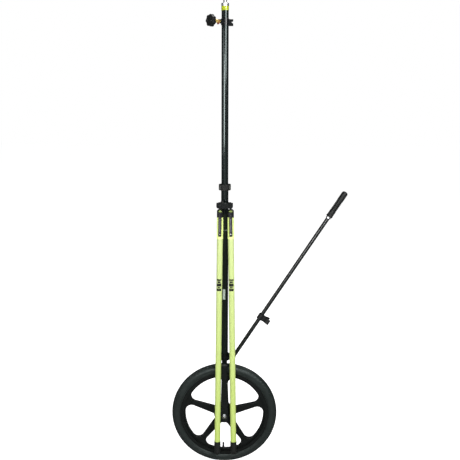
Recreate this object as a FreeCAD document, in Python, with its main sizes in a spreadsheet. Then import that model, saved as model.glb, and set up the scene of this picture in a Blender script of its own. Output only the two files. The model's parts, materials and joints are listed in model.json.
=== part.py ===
"""Wheeled surveying pole with a telescopic top, a push handle and a folding bipod.

Millimetres, +Z up, +X to the side of the push handle, -Y to the front, where the bipod legs hang.
The origin is the point of the tyre that touches the ground, straight below the pole's axis.
Each sub-part is built in the frame of what it belongs to: the ground, the wheel, the push handle,
a leg or the clamp screw. A frame is a place and a rotation, and every sub-part takes one.
"""
import FreeCAD, Part
import math
import os
import re

import Sketcher
from FreeCAD import Placement, Rotation, Vector

doc = FreeCAD.newDocument("WheeledPole")
sheet = doc.addObject("Spreadsheet::Sheet", "Dims")

DIMENSIONS = {
    # general clearances
    "running_gap": 0.05,
    "free_gap": 0.3,
    "through": 60,
    # wheel
    "wheel_radius": 236,
    "tyre_section": 23,
    "tyre_wall": 4,
    "rim_seat_radius": 188,
    "rim_flange_radius": 198,
    "rim_half_width": 16.5,
    "rim_wall": 4,
    "bead_half_width": 13,
    "web_half": 7,
    "window_radius": 175,
    "window_root_radius": 47,
    "spoke_root_half": 18,
    "spoke_tip_half": 9.5,
    "window_outer_fillet": 27,
    "window_inner_fillet": 10,
    "window_edge_round": 1.5,
    "spoke_rib": 4,
    "spoke_recess": 2.5,
    "recess_foot": 52,
    "recess_head": 160,
    "hub_flange_radius": 42,
    "hub_flange_half": 11,
    "hub_radius": 23,
    "hub_half_width": 30,
    "hub_step": 2,
    "bearing_lip": 2,
    "wheel_turn": 1.5,
    "bearing_radius": 13,
    "bearing_width": 8,
    "race_outer_radius": 10.6,
    "race_inner_radius": 7.4,
    "ball_radius": 2.38,
    "rim_gap": 0.5,
    "bead_gap": 1,
    "bead_width": 5,
    "groove_radius": 1,
    "groove_inner_angle": 24,
    "groove_outer_angle": 46,
    "tube_gap": 0.4,
    "tube_wall": 1.5,
    "valve_radius": 4.2,
    "valve_bore_radius": 2.2,
    "valve_neck_radius": 3.6,
    "valve_flare": 2,
    "valve_flare_gap": 0.5,
    "valve_flare_height": 10,
    "valve_tip_radius": 149,
    "valve_cap_radius": 4.5,
    "valve_cap_length": 6,
    "valve_cap_bevel": 1,
    # axle and fork
    "axle_radius": 5,
    "axle_hexagon": 17,
    "axle_head_height": 6.4,
    "axle_thread_end": 6,
    "axle_nut_height": 6,
    "axle_dome_radius": 7.6,
    "axle_dome_height": 5,
    "axle_dome_round": 4,
    "axle_washer_radius": 10.5,
    "axle_washer_thickness": 1.5,
    "axle_spacer_radius": 7.2,
    "fork_inside": 34,
    "fork_bar": 5,
    "fork_crown_bar": 8,
    "fork_top": 488,
    "fork_bottom": 207.5,
    "fork_crown_half": 11.5,
    "fork_blade_half": 16,
    "fork_outer_bend": 15,
    "fork_neck": 25,
    "fork_flare": 60,
    "crown_bolt_radius": 5,
    "crown_bolt_length": 40,
    "crown_bolt_head_radius": 8,
    "crown_bolt_head_height": 5,
    "crown_bolt_socket": 6,
    # pole
    "pole_radius": 15.4,
    "pole_bore_radius": 14.7,
    "pole_foot": 495,
    "plug_radius": 12,
    "plug_flange": 2,
    "plug_depth": 38,
    "pole_head": 1262,
    "mast_radius": 14.4,
    "mast_bore_radius": 13,
    "mast_foot": 1130,
    "mast_head": 1972,
    "band_foot": 1972,
    "cap_foot": 1988,
    "cap_top": 2000,
    "cap_radius": 15.2,
    "cap_edge": 0.5,
    "cap_bevel": 1,
    "cap_plug": 20,
    "bush_bore_radius": 8,
    "bush_rim": 12,
    "bush_plug": 20,
    "stud_radius": 7.94,
    "stud_length": 19,
    "stud_chamfer": 1.5,
    "spigot_radius": 5,
    "spigot_length": 10,
    "lock_wall": 4,
    "lock_rise": 2,
    "lock_inset": 1,
    "collet_root": 3.4,
    "collet_tip": 2.2,
    "collet_height": 10,
    "slit_width": 1,
    "slit_depth": 5.5,
    "collar_gap": 0.4,
    "cone_gap": 0.6,
    "collar_foot": 1251,
    "collar_top": 1276,
    "collar_radius": 25.2,
    "collar_bevel": 1.5,
    "collar_foot_bevel": 1,
    "flute_radius": 2,
    "flute_depth": 1.2,
    "flute_foot": 3.5,
    "flute_length": 18,
    "ring_height": 1080,
    "ring_half": 2,
    "ring_wall": 0.6,
    # device clamp at the top
    "clamp_foot": 1916,
    "clamp_height": 25,
    "clamp_radius": 16.6,
    "clamp_bevel": 1,
    "ear_reach": 32.5,
    "ear_drop": 3,
    "ear_thickness": 14,
    "notch_drop": 2,
    "notch_half": 5,
    "notch_depth": 9,
    "knob_azimuth": 48,
    "knob_reach": 67.5,
    "knob_radius": 24,
    "knob_thickness": 15,
    "knob_lobe_radius": 8,
    "knob_valley": 2.8,
    "knob_face_round": 2,
    "knob_insert": 9,
    "boss_reach": 22,
    "boss_radius": 8.2,
    "screw_radius": 4,
    "screw_shoulder_radius": 7,
    "screw_groove_radius": 5,
    "screw_tip_gap": 1,
    "washer_seat": 36,
    "washer_thickness": 3,
    "washer_radius": 7.6,
    "washer_tab": 12.3,
    "washer_tab_half": 4,
    # push handle
    "handle_pivot_x": 40,
    "handle_pivot_z": 506,
    "handle_lean": 32.5,
    "handle_rod_radius": 8.4,
    "handle_rod_wall": 1.5,
    "handle_length": 875,
    "bracket_half": 14,
    "bracket_wall": 5,
    "cheek_radius": 9,
    "cheek_thickness": 4,
    "cheek_root": 9,
    "split_half": 1,
    "pinch_half_width": 7,
    "pinch_half_height": 10,
    "pinch_reach": 18,
    "pinch_hole": 11.5,
    "pinch_screw_radius": 2.5,
    "pinch_screw_length": 16,
    "pinch_screw_head_radius": 4.2,
    "pinch_screw_head_height": 4.5,
    "pinch_screw_socket": 4,
    "pivot_radius": 4,
    "pivot_hexagon": 13,
    "pivot_head_height": 4.5,
    "pivot_nut_height": 5.5,
    "pivot_thread_end": 7,
    "eye_play": 0.1,
    "eye_radius": 9.4,
    "eye_neck": 14,
    "eye_spigot": 20,
    "grip_radius": 13,
    "grip_length": 125,
    "grip_end_wall": 8,
    "grip_end_round": 10,
    "grip_ring_height": 8,
    "grip_ring_wall": 2.5,
    "grip_flange": 1,
    "grip_flange_height": 5,
    "grip_flange_slope": 3,
    "rib_foot": 32,
    "rib_pitch": 7,
    "rib_depth": 1.5,
    "rib_valley": 2,
    "rib_slope": 1,
    "clip_height": 220,
    "clip_length": 25,
    "clip_inset": 1,
    "clip_wall": 4.5,
    "clip_arm_half": 9,
    "clip_reach": 43,
    "jaw_gap": 0.4,
    "jaw_wall": 3.2,
    # bipod
    "hinge_x": 21.5,
    "hinge_y": -52,
    "hinge_z": 1193,
    "hinge_shift": 3,
    "block_half_width": 34.5,
    "block_half_depth": 12,
    "block_corner": 9,
    "block_foot": 11,
    "block_top": 10,
    "block_bevel": 1.5,
    "slot_roof": 2,
    "slot_half_depth": 7.3,
    "slot_clearance": 8,
    "front_screw_x": 9.5,
    "rear_screw_x": 22.9,
    "rear_screw_drop": 2.5,
    "head_screw_radius": 2.5,
    "head_screw_front_length": 34,
    "head_screw_rear_length": 26,
    "head_screw_head_radius": 4,
    "head_screw_head_height": 3,
    "head_screw_socket": 3,
    "hinge_bolt_radius": 3,
    "hinge_bolt_length": 24,
    "hinge_bolt_head_radius": 4.5,
    "hinge_bolt_head_height": 3,
    "hinge_bolt_socket": 4,
    "cap_nut_x": -10,
    "cap_nut_radius": 7.5,
    "cap_nut_skirt": 3,
    "saddle_half_width": 27.4,
    "saddle_foot": 9.5,
    "saddle_top": 4.5,
    "saddle_corner": 3,
    "saddle_split": 0.5,
    "flange_depth": 9,
    "bow_wall": 5,
    "left_splay": 0.65,
    "right_splay": 0.89,
    "swing_drop": 22,
    "knuckle_radius": 7.5,
    "knuckle_thickness": 14,
    "tongue_half": 4,
    "tongue_width": 10,
    "tongue_foot_radius": 5.5,
    "trunnion_radius": 3,
    "trunnion_length": 19,
    "rod_head_radius": 10,
    "rod_head_rise": 6,
    "rod_head_drop": 12,
    "rod_fork_half": 5.4,
    "rod_fork_depth": 8,
    "leg_rod_radius": 8,
    "leg_rod_wall": 1.5,
    "leg_rod_foot": 1043,
    "leg_tube_radius": 12.7,
    "leg_tube_wall": 1.5,
    "leg_tube_foot": 1093,
    "sleeve_radius": 13.5,
    "sleeve_foot": 140,
    "housing_foot": 49,
    "housing_top": 19.5,
    "housing_bevel_height": 2.5,
    "housing_bevel": 1.1,
    "housing_cup_radius": 11.5,
    "housing_floor": 10,
    "lock_boss_half": 9.5,
    "lock_boss_front": 26,
    "lock_boss_back": 12,
    "lock_boss_corner": 2,
    "lock_boss_rise": 4.5,
    "lever_slot_gap": 0.5,
    "lever_slot_back": 19.8,
    "shelf_step": 1.5,
    "boot_top": 1070,
    "boot_foot": 1133,
    "boot_wall": 1.1,
    "boot_taper_foot": 2,
    "boot_taper": 12,
    "boot_toe_radius": 10.5,
    "boot_tip_radius": 8.5,
    "lever_pivot_y": -22.5,
    "lever_pivot_drop": 35,
    "lever_length": 91.5,
    "lever_half_width": 6.7,
    "lever_head": 6.2,
    "lever_thickness": 3.4,
    "lever_bulge": 1.4,
    "lever_corner": 2.5,
    "lever_tilt": 3,
    "lever_pin_radius": 1.5,
    "lever_pin_length": 18,
    "rivet_radius": 2.8,
    "rivet_rise": 10.5,
    "rivet_proud": 1,
    "shelf": 26.8,
    "button_foot": 23.5,
    "button_rise": 7.1,
    "button_half_width": 7.6,
    "button_back": 14.6,
    "button_depth": 10.6,
    "button_round": 2,
    "button_stem_y": -16.5,
    "button_stem_radius": 2,
    "button_stem_length": 8,
    "button_stem_root": 0.5,
}

for row, (alias, size) in enumerate(DIMENSIONS.items(), start=1):
    sheet.set(f"A{row}", alias)
    sheet.set(f"B{row}", str(size))
    sheet.setAlias(f"B{row}", alias)
doc.recompute()

FULL_TURN = 360
SPOKE_COUNT = 5
HALF_WINDOW_ANGLE = FULL_TURN / SPOKE_COUNT / 2
BALL_COUNT = 7
SLIT_COUNT = 6
FLUTE_COUNT = 24
LOBE_COUNT = 7
RIB_COUNT = 7
SOCKET_SHARE = 0.6
TOUCH = 0.01
subparts = []


# ---------------------------------------------------------------- helpers

def formula(text):
    """The text with the sheet's name in front of each alias, as an expression needs it."""
    def with_sheet(match):
        word = match.group(0)
        return "Dims." + word if word in DIMENSIONS else word
    return re.sub(r"[A-Za-z_]\w*", with_sheet, str(text))


def number(text):
    """The value of a formula, now."""
    return float(sheet.evalExpression(formula(text)))


def bind(thing, prop, text):
    """Tie a property to a formula in the sheet's aliases."""
    thing.setExpression(prop, formula(text))


def frame(x="0", y="0", z="0", rotation=None):
    """A place in the ground frame and a rotation."""
    return {"x": x, "y": y, "z": z, "rotation": rotation or Rotation()}


def place(thing, where):
    """Put an object in a frame, with its position tied to the sheet."""
    thing.Placement = Placement(Vector(0, 0, 0), where["rotation"])
    for letter in "xyz":
        bind(thing, f"Placement.Base.{letter}", where[letter])


def keep(thing, name):
    """Name an object and list it as a sub-part to be written."""
    thing.Label = name
    subparts.append(thing)
    return thing


def tie_coordinate(sketch, kind, geometry, vertex, text):
    """Dimension one coordinate of a point, or put the point on the axis if it is zero."""
    size = number(text)
    if abs(size) < 1e-9:
        axis = -2 if kind == "DistanceX" else -1
        sketch.addConstraint(Sketcher.Constraint("PointOnObject", geometry, vertex, axis))
        return
    index = sketch.addConstraint(Sketcher.Constraint(kind, geometry, vertex, size))
    bind(sketch, f"Constraints[{index}]", text)


def draw_circle(sketch, x, y, radius):
    """A dimensioned circle."""
    centre = Vector(number(x), number(y), 0)
    circle = sketch.addGeometry(Part.Circle(centre, Vector(0, 0, 1), number(radius)), False)
    tie_coordinate(sketch, "DistanceX", circle, 3, x)
    tie_coordinate(sketch, "DistanceY", circle, 3, y)
    index = sketch.addConstraint(Sketcher.Constraint("Radius", circle, number(radius)))
    bind(sketch, f"Constraints[{index}]", radius)


def arc_between(start, end, radius):
    """The arc of up to half a turn from start to end; a positive radius turns to the left."""
    chord = end - start
    half = chord.Length / 2
    reach = abs(radius)
    rise = reach - math.sqrt(max(reach ** 2 - half ** 2, 0))
    outward = Vector(chord.y, -chord.x, 0).normalize() * math.copysign(rise, radius)
    return Part.Arc(start, (start + end) / 2 + outward, end)


def draw_outline(sketch, points):
    """A closed outline. A point's optional third value is the radius of the arc to the next."""
    corners = [Vector(number(point[0]), number(point[1]), 0) for point in points]
    edges = []
    for index, point in enumerate(points):
        start = corners[index]
        end = corners[(index + 1) % len(points)]
        if len(point) == 2:
            edges.append((sketch.addGeometry(Part.LineSegment(start, end), False), 1, 2))
            continue
        radius = number(point[2])
        arc = sketch.addGeometry(arc_between(start, end, radius), False)
        edges.append((arc, 1, 2) if radius > 0 else (arc, 2, 1))
    for index, (edge, _, last) in enumerate(edges):
        following, first, _ = edges[(index + 1) % len(edges)]
        joint = Sketcher.Constraint("Coincident", edge, last, following, first)
        sketch.addConstraint(joint)
    for (edge, first, _), point in zip(edges, points):
        tie_coordinate(sketch, "DistanceX", edge, first, point[0])
        tie_coordinate(sketch, "DistanceY", edge, first, point[1])
        if len(point) == 3:
            size = abs(number(point[2]))
            index = sketch.addConstraint(Sketcher.Constraint("Radius", edge, size))
            bind(sketch, f"Constraints[{index}]", f"abs({point[2]})")


def sketch_on(body, name, role, loops, offset="0"):
    """A sketch on one of the body's own planes. A loop is a circle (x, y, r) or a list of points.

    XY_Plane faces +Z; XZ_Plane faces -Y and shows X and Z; YZ_Plane faces +X and shows Y and Z.
    """
    sketch = body.newObject("Sketcher::SketchObject", name)
    plane = next(one for one in body.Origin.OriginFeatures if one.Role == role)
    sketch.AttachmentSupport = [(plane, "")]
    sketch.MapMode = "FlatFace"
    bind(sketch, "AttachmentOffset.Base.z", offset)
    for loop in loops:
        if isinstance(loop, tuple):
            draw_circle(sketch, *loop)
        else:
            draw_outline(sketch, loop)
    return sketch


def new_body(name):
    """An empty PartDesign body."""
    return doc.addObject("PartDesign::Body", name + "_body")


def pad(body, name, role, loops, length, offset="0", symmetric=False):
    """Add the loops' area, extruded along the plane's normal or to both sides of it."""
    feature = body.newObject("PartDesign::Pad", name)
    feature.Profile = sketch_on(body, name + "_sketch", role, loops, offset)
    feature.SideType = "Symmetric" if symmetric else "One side"
    bind(feature, "Length", length)
    doc.recompute()
    return feature


def pocket(body, name, role, loops, length, offset="0", symmetric=False, towards_normal=False):
    """Cut the loops' area, against the plane's normal unless told otherwise. It must cut."""
    before = body.Shape.Volume
    feature = body.newObject("PartDesign::Pocket", name)
    feature.Profile = sketch_on(body, name + "_sketch", role, loops, offset)
    feature.SideType = "Symmetric" if symmetric else "One side"
    feature.Reversed = towards_normal
    bind(feature, "Length", length)
    doc.recompute()
    if feature.Shape.Volume > before - TOUCH:
        raise RuntimeError(f"{name} cuts nothing")
    return feature


def revolve(body, name, outline):
    """Turn an outline of (radius, height) points about the body's own Z axis."""
    sketch = sketch_on(body, name + "_sketch", "XZ_Plane", [outline])
    feature = body.newObject("PartDesign::Revolution", name)
    feature.Profile = sketch
    feature.ReferenceAxis = (sketch, ["V_Axis"])
    feature.Angle = FULL_TURN
    doc.recompute()
    return feature


def repeat_round(body, name, feature, count):
    """Repeat a feature evenly round the body's own Z axis."""
    pattern = body.newObject("PartDesign::PolarPattern", name)
    pattern.Originals = [feature]
    axis = next(one for one in body.Origin.OriginFeatures if one.Role == "Z_Axis")
    pattern.Axis = (axis, [""])
    pattern.Angle = FULL_TURN
    pattern.Occurrences = count
    body.Tip = pattern
    doc.recompute()
    return pattern


def round_edges(body, name, radius, wanted):
    """Fillet the body's edges that the test picks."""
    base = body.Tip
    names = [f"Edge{place}" for place, edge in enumerate(base.Shape.Edges, start=1) if wanted(edge)]
    if not names:
        raise RuntimeError(f"{name} finds no edge")
    feature = body.newObject("PartDesign::Fillet", name)
    feature.Base = (base, names)
    bind(feature, "Radius", radius)
    body.Tip = feature
    doc.recompute()
    return feature


def bevel_edges(body, name, size, wanted):
    """Chamfer the body's edges that the test picks."""
    base = body.Tip
    names = [f"Edge{place}" for place, edge in enumerate(base.Shape.Edges, start=1) if wanted(edge)]
    if not names:
        raise RuntimeError(f"{name} finds no edge")
    feature = body.newObject("PartDesign::Chamfer", name)
    feature.Base = (base, names)
    bind(feature, "Size", size)
    body.Tip = feature
    doc.recompute()
    return feature


def turned(name, outline, where):
    """A lathe-turned sub-part: one outline of (radius, height) points."""
    body = new_body(name)
    revolve(body, name + "_turn", outline)
    place(body, where)
    return keep(body, name)


def tube(name, outer, bore, foot, head, where):
    """A plain tube along the frame's Z axis."""
    return turned(name, [(bore, foot), (outer, foot), (outer, head), (bore, head)], where)


def box_outline(x_low, y_low, x_high, y_high):
    """A rectangle."""
    return [(x_low, y_low), (x_high, y_low), (x_high, y_high), (x_low, y_high)]


def rounded_outline(x_low, y_low, x_high, y_high, corner):
    """A rectangle with quarter-round corners."""
    return [
        (f"{x_low} + {corner}", y_low), (f"{x_high} - {corner}", y_low, corner),
        (x_high, f"{y_low} + {corner}"), (x_high, f"{y_high} - {corner}", corner),
        (f"{x_high} - {corner}", y_high), (f"{x_low} + {corner}", y_high, corner),
        (x_low, f"{y_high} - {corner}"), (x_low, f"{y_low} + {corner}", corner),
    ]


def hexagon(across_flats):
    """A regular hexagon about the origin, corners on the X axis."""
    reach = f"({across_flats}) / cos(30)"
    return [(f"{reach} / 2 * {math.cos(math.radians(60 * side)):.9f}",
             f"{reach} / 2 * {math.sin(math.radians(60 * side)):.9f}") for side in range(6)]


def screw(name, kind, length, where):
    """A socket-head cap screw: the head's underside is at the origin, the shank goes down.

    The kind is the first part of its aliases: _radius, _head_radius, _head_height and _socket.
    """
    body = new_body(name)
    head_height = f"{kind}_head_height"
    pad(body, name + "_head", "XY_Plane", [("0", "0", f"{kind}_head_radius")], head_height)
    pocket(body, name + "_socket", "XY_Plane", [hexagon(f"{kind}_socket")],
           f"{head_height} * {SOCKET_SHARE}", offset=head_height)
    pad(body, name + "_shank", "XY_Plane", [("0", "0", f"{kind}_radius")], length,
        offset=f"-({length})")
    place(body, where)
    return body


def group(name, members):
    """Identical separate pieces kept as one sub-part."""
    compound = doc.addObject("Part::Compound", name + "_group")
    compound.Links = members
    return keep(compound, name)


def upright(edge):
    """True for a straight edge along the body's own Z axis."""
    if not isinstance(edge.Curve, Part.Line):
        return False
    return abs(edge.Curve.Direction.z) > 0.999


def distance_from_axis(edge):
    """How far an edge's middle is from the body's own Z axis."""
    middle = edge.CenterOfMass
    return math.hypot(middle.x, middle.y)


# ---------------------------------------------------------------- frames

X_AXIS = Vector(1, 0, 0)
Y_AXIS = Vector(0, 1, 0)
Z_AXIS = Vector(0, 0, 1)
TO_FRONT = Rotation(X_AXIS, 90)
TO_BACK = Rotation(X_AXIS, -90)
TO_SIDE = Rotation(Y_AXIS, 90)
UPSIDE_DOWN = Rotation(X_AXIS, 180)

GROUND = frame()
WHEEL = frame(z="wheel_radius", rotation=TO_FRONT * Rotation(Z_AXIS, -number("wheel_turn")))
AXLE = frame(z="wheel_radius", rotation=TO_FRONT)
HANDLE = frame("handle_pivot_x", "0", "handle_pivot_z", Rotation(Y_AXIS, number("handle_lean")))
KNOB = frame(z="clamp_foot + clamp_height / 2",
             rotation=Rotation(Z_AXIS, -number("knob_azimuth")) * TO_FRONT)
LEGS = {
    "left": frame("hinge_shift - hinge_x", "hinge_y", "hinge_z",
                  Rotation(Y_AXIS, number("left_splay"))),
    "right": frame("hinge_shift + hinge_x", "hinge_y", "hinge_z",
                   Rotation(Y_AXIS, -number("right_splay"))),
}


# ---------------------------------------------------------------- wheel

def make_wheel_core():
    """Moulded hub, web and rim in one: a turned disc with five windows and a valve hole."""
    body = new_body("wheel_core")
    half_outline = [
        ("bearing_radius", "hub_half_width"), ("hub_radius", "hub_half_width"),
        ("hub_radius + hub_step", "hub_flange_half + hub_step"),
        ("hub_flange_radius", "hub_flange_half"),
        ("hub_flange_radius", "web_half"), ("rim_seat_radius - rim_wall", "web_half"),
        ("rim_seat_radius - rim_wall", "rim_half_width"), ("rim_flange_radius", "rim_half_width"),
        ("rim_flange_radius", "bead_half_width"), ("rim_seat_radius", "bead_half_width"),
    ]
    bearing_seat = "hub_half_width - bearing_width"
    mirrored = [(radius, f"-({height})") for radius, height in reversed(half_outline)]
    shoulder = [
        ("bearing_radius", f"-({bearing_seat})"),
        ("bearing_radius - bearing_lip", f"-({bearing_seat})"),
        ("bearing_radius - bearing_lip", bearing_seat), ("bearing_radius", bearing_seat),
    ]
    revolve(body, "wheel_core_turn", half_outline + mirrored + shoulder)

    # One window lies between two spokes, half a window's angle each side of the local -Y direction.
    sine = f"sin({HALF_WINDOW_ANGLE})"
    cosine = f"cos({HALF_WINDOW_ANGLE})"

    def window_corner(radius, half_width, side):
        x = f"{side} * (({radius}) * {sine} - ({half_width}) * {cosine})"
        y = f"-({radius}) * {cosine} - ({half_width}) * {sine}"
        return x, y

    root = "sqrt(window_root_radius ^ 2 - spoke_root_half ^ 2)"
    tip = "sqrt(window_radius ^ 2 - spoke_tip_half ^ 2)"
    window = [
        window_corner(tip, "spoke_tip_half", "-1") + ("window_radius",),
        window_corner(tip, "spoke_tip_half", "1"),
        window_corner(root, "spoke_root_half", "1") + ("-window_root_radius",),
        window_corner(root, "spoke_root_half", "-1"),
    ]
    first = pocket(body, "window", "XY_Plane", [window], "web_half * 4", symmetric=True)
    repeat_round(body, "windows", first, SPOKE_COUNT)

    def corner_at(radius):
        return lambda edge: upright(edge) and abs(distance_from_axis(edge) - number(radius)) < TOUCH

    round_edges(body, "window_outer_corners", "window_outer_fillet", corner_at("window_radius"))
    round_edges(body, "window_inner_corners", "window_inner_fillet",
                corner_at("window_root_radius"))

    def window_edge(edge):
        box = edge.BoundBox
        flat = box.ZLength < TOUCH and abs(abs(box.ZMin) - number("web_half")) < TOUCH
        whole_circle = edge.isClosed()
        return flat and not whole_circle

    round_edges(body, "window_edges", "window_edge_round", window_edge)

    # Each spoke is hollowed a little on both faces, which leaves a rib along its edges.
    slope = "(spoke_root_half - spoke_tip_half) / (window_radius - window_root_radius)"
    foot_half = f"spoke_root_half - spoke_rib - {slope} * (recess_foot - window_root_radius)"
    head_half = f"spoke_root_half - spoke_rib - {slope} * (recess_head - window_root_radius)"
    recess = [
        (f"-({foot_half})", "recess_foot"), (foot_half, "recess_foot"),
        (head_half, "recess_head"), (f"-({head_half})", "recess_head"),
    ]
    front = pocket(body, "spoke_recess_front", "XY_Plane", [recess], "spoke_recess",
                   offset="web_half")
    repeat_round(body, "spoke_recesses_front", front, SPOKE_COUNT)
    back = pocket(body, "spoke_recess_back", "XY_Plane", [recess], "spoke_recess",
                  offset="-web_half", towards_normal=True)
    repeat_round(body, "spoke_recesses_back", back, SPOKE_COUNT)
    pocket(body, "valve_hole", "XZ_Plane", [("0", "0", "valve_radius + free_gap")],
           "rim_seat_radius + 2 * rim_wall - window_radius", offset="rim_seat_radius + rim_wall")
    place(body, WHEEL)
    return keep(body, "wheel_core")


def make_tyre():
    """Tyre casing: a round section open towards the rim, with a bead at each side."""
    body = new_body("tyre")
    centre = "wheel_radius - tyre_section"
    foot = "rim_flange_radius + rim_gap"
    outer = f"sqrt(tyre_section ^ 2 - ({centre} - ({foot})) ^ 2)"
    hollow = "tyre_section - tyre_wall"
    neck = "rim_flange_radius - rim_gap"
    inner = f"sqrt(({hollow}) ^ 2 - ({centre} - ({neck})) ^ 2)"
    bead = "bead_half_width"
    bead_inside = "bead_half_width - bead_width"
    bead_foot = "rim_seat_radius + bead_gap"
    outline = [
        (foot, f"-({outer})", "tyre_section"), ("wheel_radius", "0", "tyre_section"),
        (foot, outer), (foot, bead), (bead_foot, bead), (bead_foot, bead_inside),
        (neck, inner, f"-({hollow})"), ("wheel_radius - tyre_wall", "0", f"-({hollow})"),
        (neck, f"-({inner})"), (bead_foot, f"-({bead_inside})"), (bead_foot, f"-{bead}"),
        (foot, f"-{bead}"),
    ]
    revolve(body, "tyre_turn", outline)

    # Shallow grooves round the tread, two at each side of the crown.
    grooves = {
        "groove_front_inner": "groove_inner_angle", "groove_back_inner": "-groove_inner_angle",
        "groove_front_outer": "groove_outer_angle", "groove_back_outer": "-groove_outer_angle",
    }
    for name, angle in grooves.items():
        x = f"{centre} + tyre_section * cos({angle})"
        y = f"tyre_section * sin({angle})"
        groove = body.newObject("PartDesign::Groove", name)
        sketch = sketch_on(body, name + "_sketch", "XZ_Plane", [(x, y, "groove_radius")])
        groove.Profile = sketch
        groove.ReferenceAxis = (sketch, ["V_Axis"])
        groove.Angle = FULL_TURN
        before = body.Shape.Volume
        doc.recompute()
        if groove.Shape.Volume > before - TOUCH:
            raise RuntimeError(f"{name} cuts nothing")
    place(body, WHEEL)
    return keep(body, "tyre")


def make_inner_tube():
    """Thin rubber torus inside the tyre, open where the valve's stem joins it."""
    outer = doc.addObject("Part::Torus", "inner_tube_skin")
    hollow = doc.addObject("Part::Torus", "inner_tube_air")
    port = doc.addObject("Part::Cylinder", "inner_tube_port")
    for ring in (outer, hollow):
        bind(ring, "Radius1", "wheel_radius - tyre_section")
    bind(outer, "Radius2", "tyre_section - tyre_wall - tube_gap")
    bind(hollow, "Radius2", "tyre_section - tyre_wall - tube_gap - tube_wall")
    bind(port, "Radius", "valve_bore_radius")
    bind(port, "Height", "tyre_section")
    port.Placement = Placement(Vector(0, 0, 0), Rotation(X_AXIS, 90))
    bind(port, "Placement.Base.y", "-(rim_seat_radius)")
    tools = doc.addObject("Part::MultiFuse", "inner_tube_hollows")
    tools.Shapes = [hollow, port]
    skin = doc.addObject("Part::Cut", "inner_tube_cut")
    skin.Base = outer
    skin.Tool = tools
    doc.recompute()
    place(skin, WHEEL)
    return keep(skin, "inner_tube")


def valve_frame():
    """Frame of the valve: its Z axis points from the rim to the hub."""
    rotation = WHEEL["rotation"] * Rotation(X_AXIS, -90)
    return frame(z="wheel_radius", rotation=rotation)


def make_valve():
    """Rubber stem that passes through the rim, and its screwed cap."""
    where = valve_frame()
    root = "-(wheel_radius - 2 * tyre_section + tyre_wall + free_gap)"
    flare_root = "-(window_radius - valve_flare_gap)"
    flare_end = "-(window_radius - valve_flare_height)"
    tip = "-(valve_tip_radius + valve_cap_length)"
    stem = [
        ("valve_bore_radius", root), ("valve_radius", root), ("valve_radius", flare_root),
        ("valve_radius + valve_flare", flare_root), ("valve_radius", flare_end),
        ("valve_neck_radius", tip), ("valve_bore_radius", tip),
    ]
    turned("valve_stem", stem, where)
    cap = [
        ("0", tip), ("valve_cap_radius", tip),
        ("valve_cap_radius", "-(valve_tip_radius + valve_cap_bevel)"),
        ("valve_cap_radius - valve_cap_bevel", "-valve_tip_radius"), ("0", "-valve_tip_radius"),
    ]
    turned("valve_cap", cap, where)


def make_bearings():
    """Two ball bearings: outer rings in the hub, inner rings on the axle, balls between."""
    pitch = "(race_outer_radius + race_inner_radius) / 2"
    track = "ball_radius + running_gap"
    reach = f"sqrt(({track}) ^ 2 - ({pitch} - race_inner_radius) ^ 2)"
    outer_rings = []
    inner_rings = []
    balls = []
    for side, sign in (("front", "1"), ("back", "-1")):
        middle = f"{sign} * (hub_half_width - bearing_width / 2)"
        low = f"{middle} - bearing_width / 2"
        high = f"{middle} + bearing_width / 2"
        outer = new_body(f"outer_ring_{side}")
        revolve(outer, f"outer_ring_turn_{side}", [
            ("bearing_radius", low), ("bearing_radius", high), ("race_outer_radius", high),
            ("race_outer_radius", f"{middle} + {reach}", f"-({track})"),
            ("race_outer_radius", f"{middle} - {reach}"), ("race_outer_radius", low),
        ])
        place(outer, WHEEL)
        outer_rings.append(outer)
        inner = new_body(f"inner_ring_{side}")
        revolve(inner, f"inner_ring_turn_{side}", [
            ("axle_radius", low), ("race_inner_radius", low),
            ("race_inner_radius", f"{middle} - {reach}", f"-({track})"),
            ("race_inner_radius", f"{middle} + {reach}"), ("race_inner_radius", high),
            ("axle_radius", high),
        ])
        place(inner, AXLE)
        inner_rings.append(inner)
        for index in range(BALL_COUNT):
            angle = FULL_TURN * index / BALL_COUNT
            ball = doc.addObject("Part::Sphere", f"ball_{side}_{index}")
            bind(ball, "Radius", "ball_radius")
            spot = Vector(number(pitch), 0, number(middle))
            spot = Rotation(Z_AXIS, angle).multVec(spot)
            ball.Placement = Placement(WHEEL["rotation"].multVec(spot), Rotation())
            ball.Placement.Base += Vector(0, 0, number("wheel_radius"))
            balls.append(ball)
    group("bearing_outer_rings", outer_rings)
    group("bearing_inner_rings", inner_rings)
    group("bearing_balls", balls)


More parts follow.
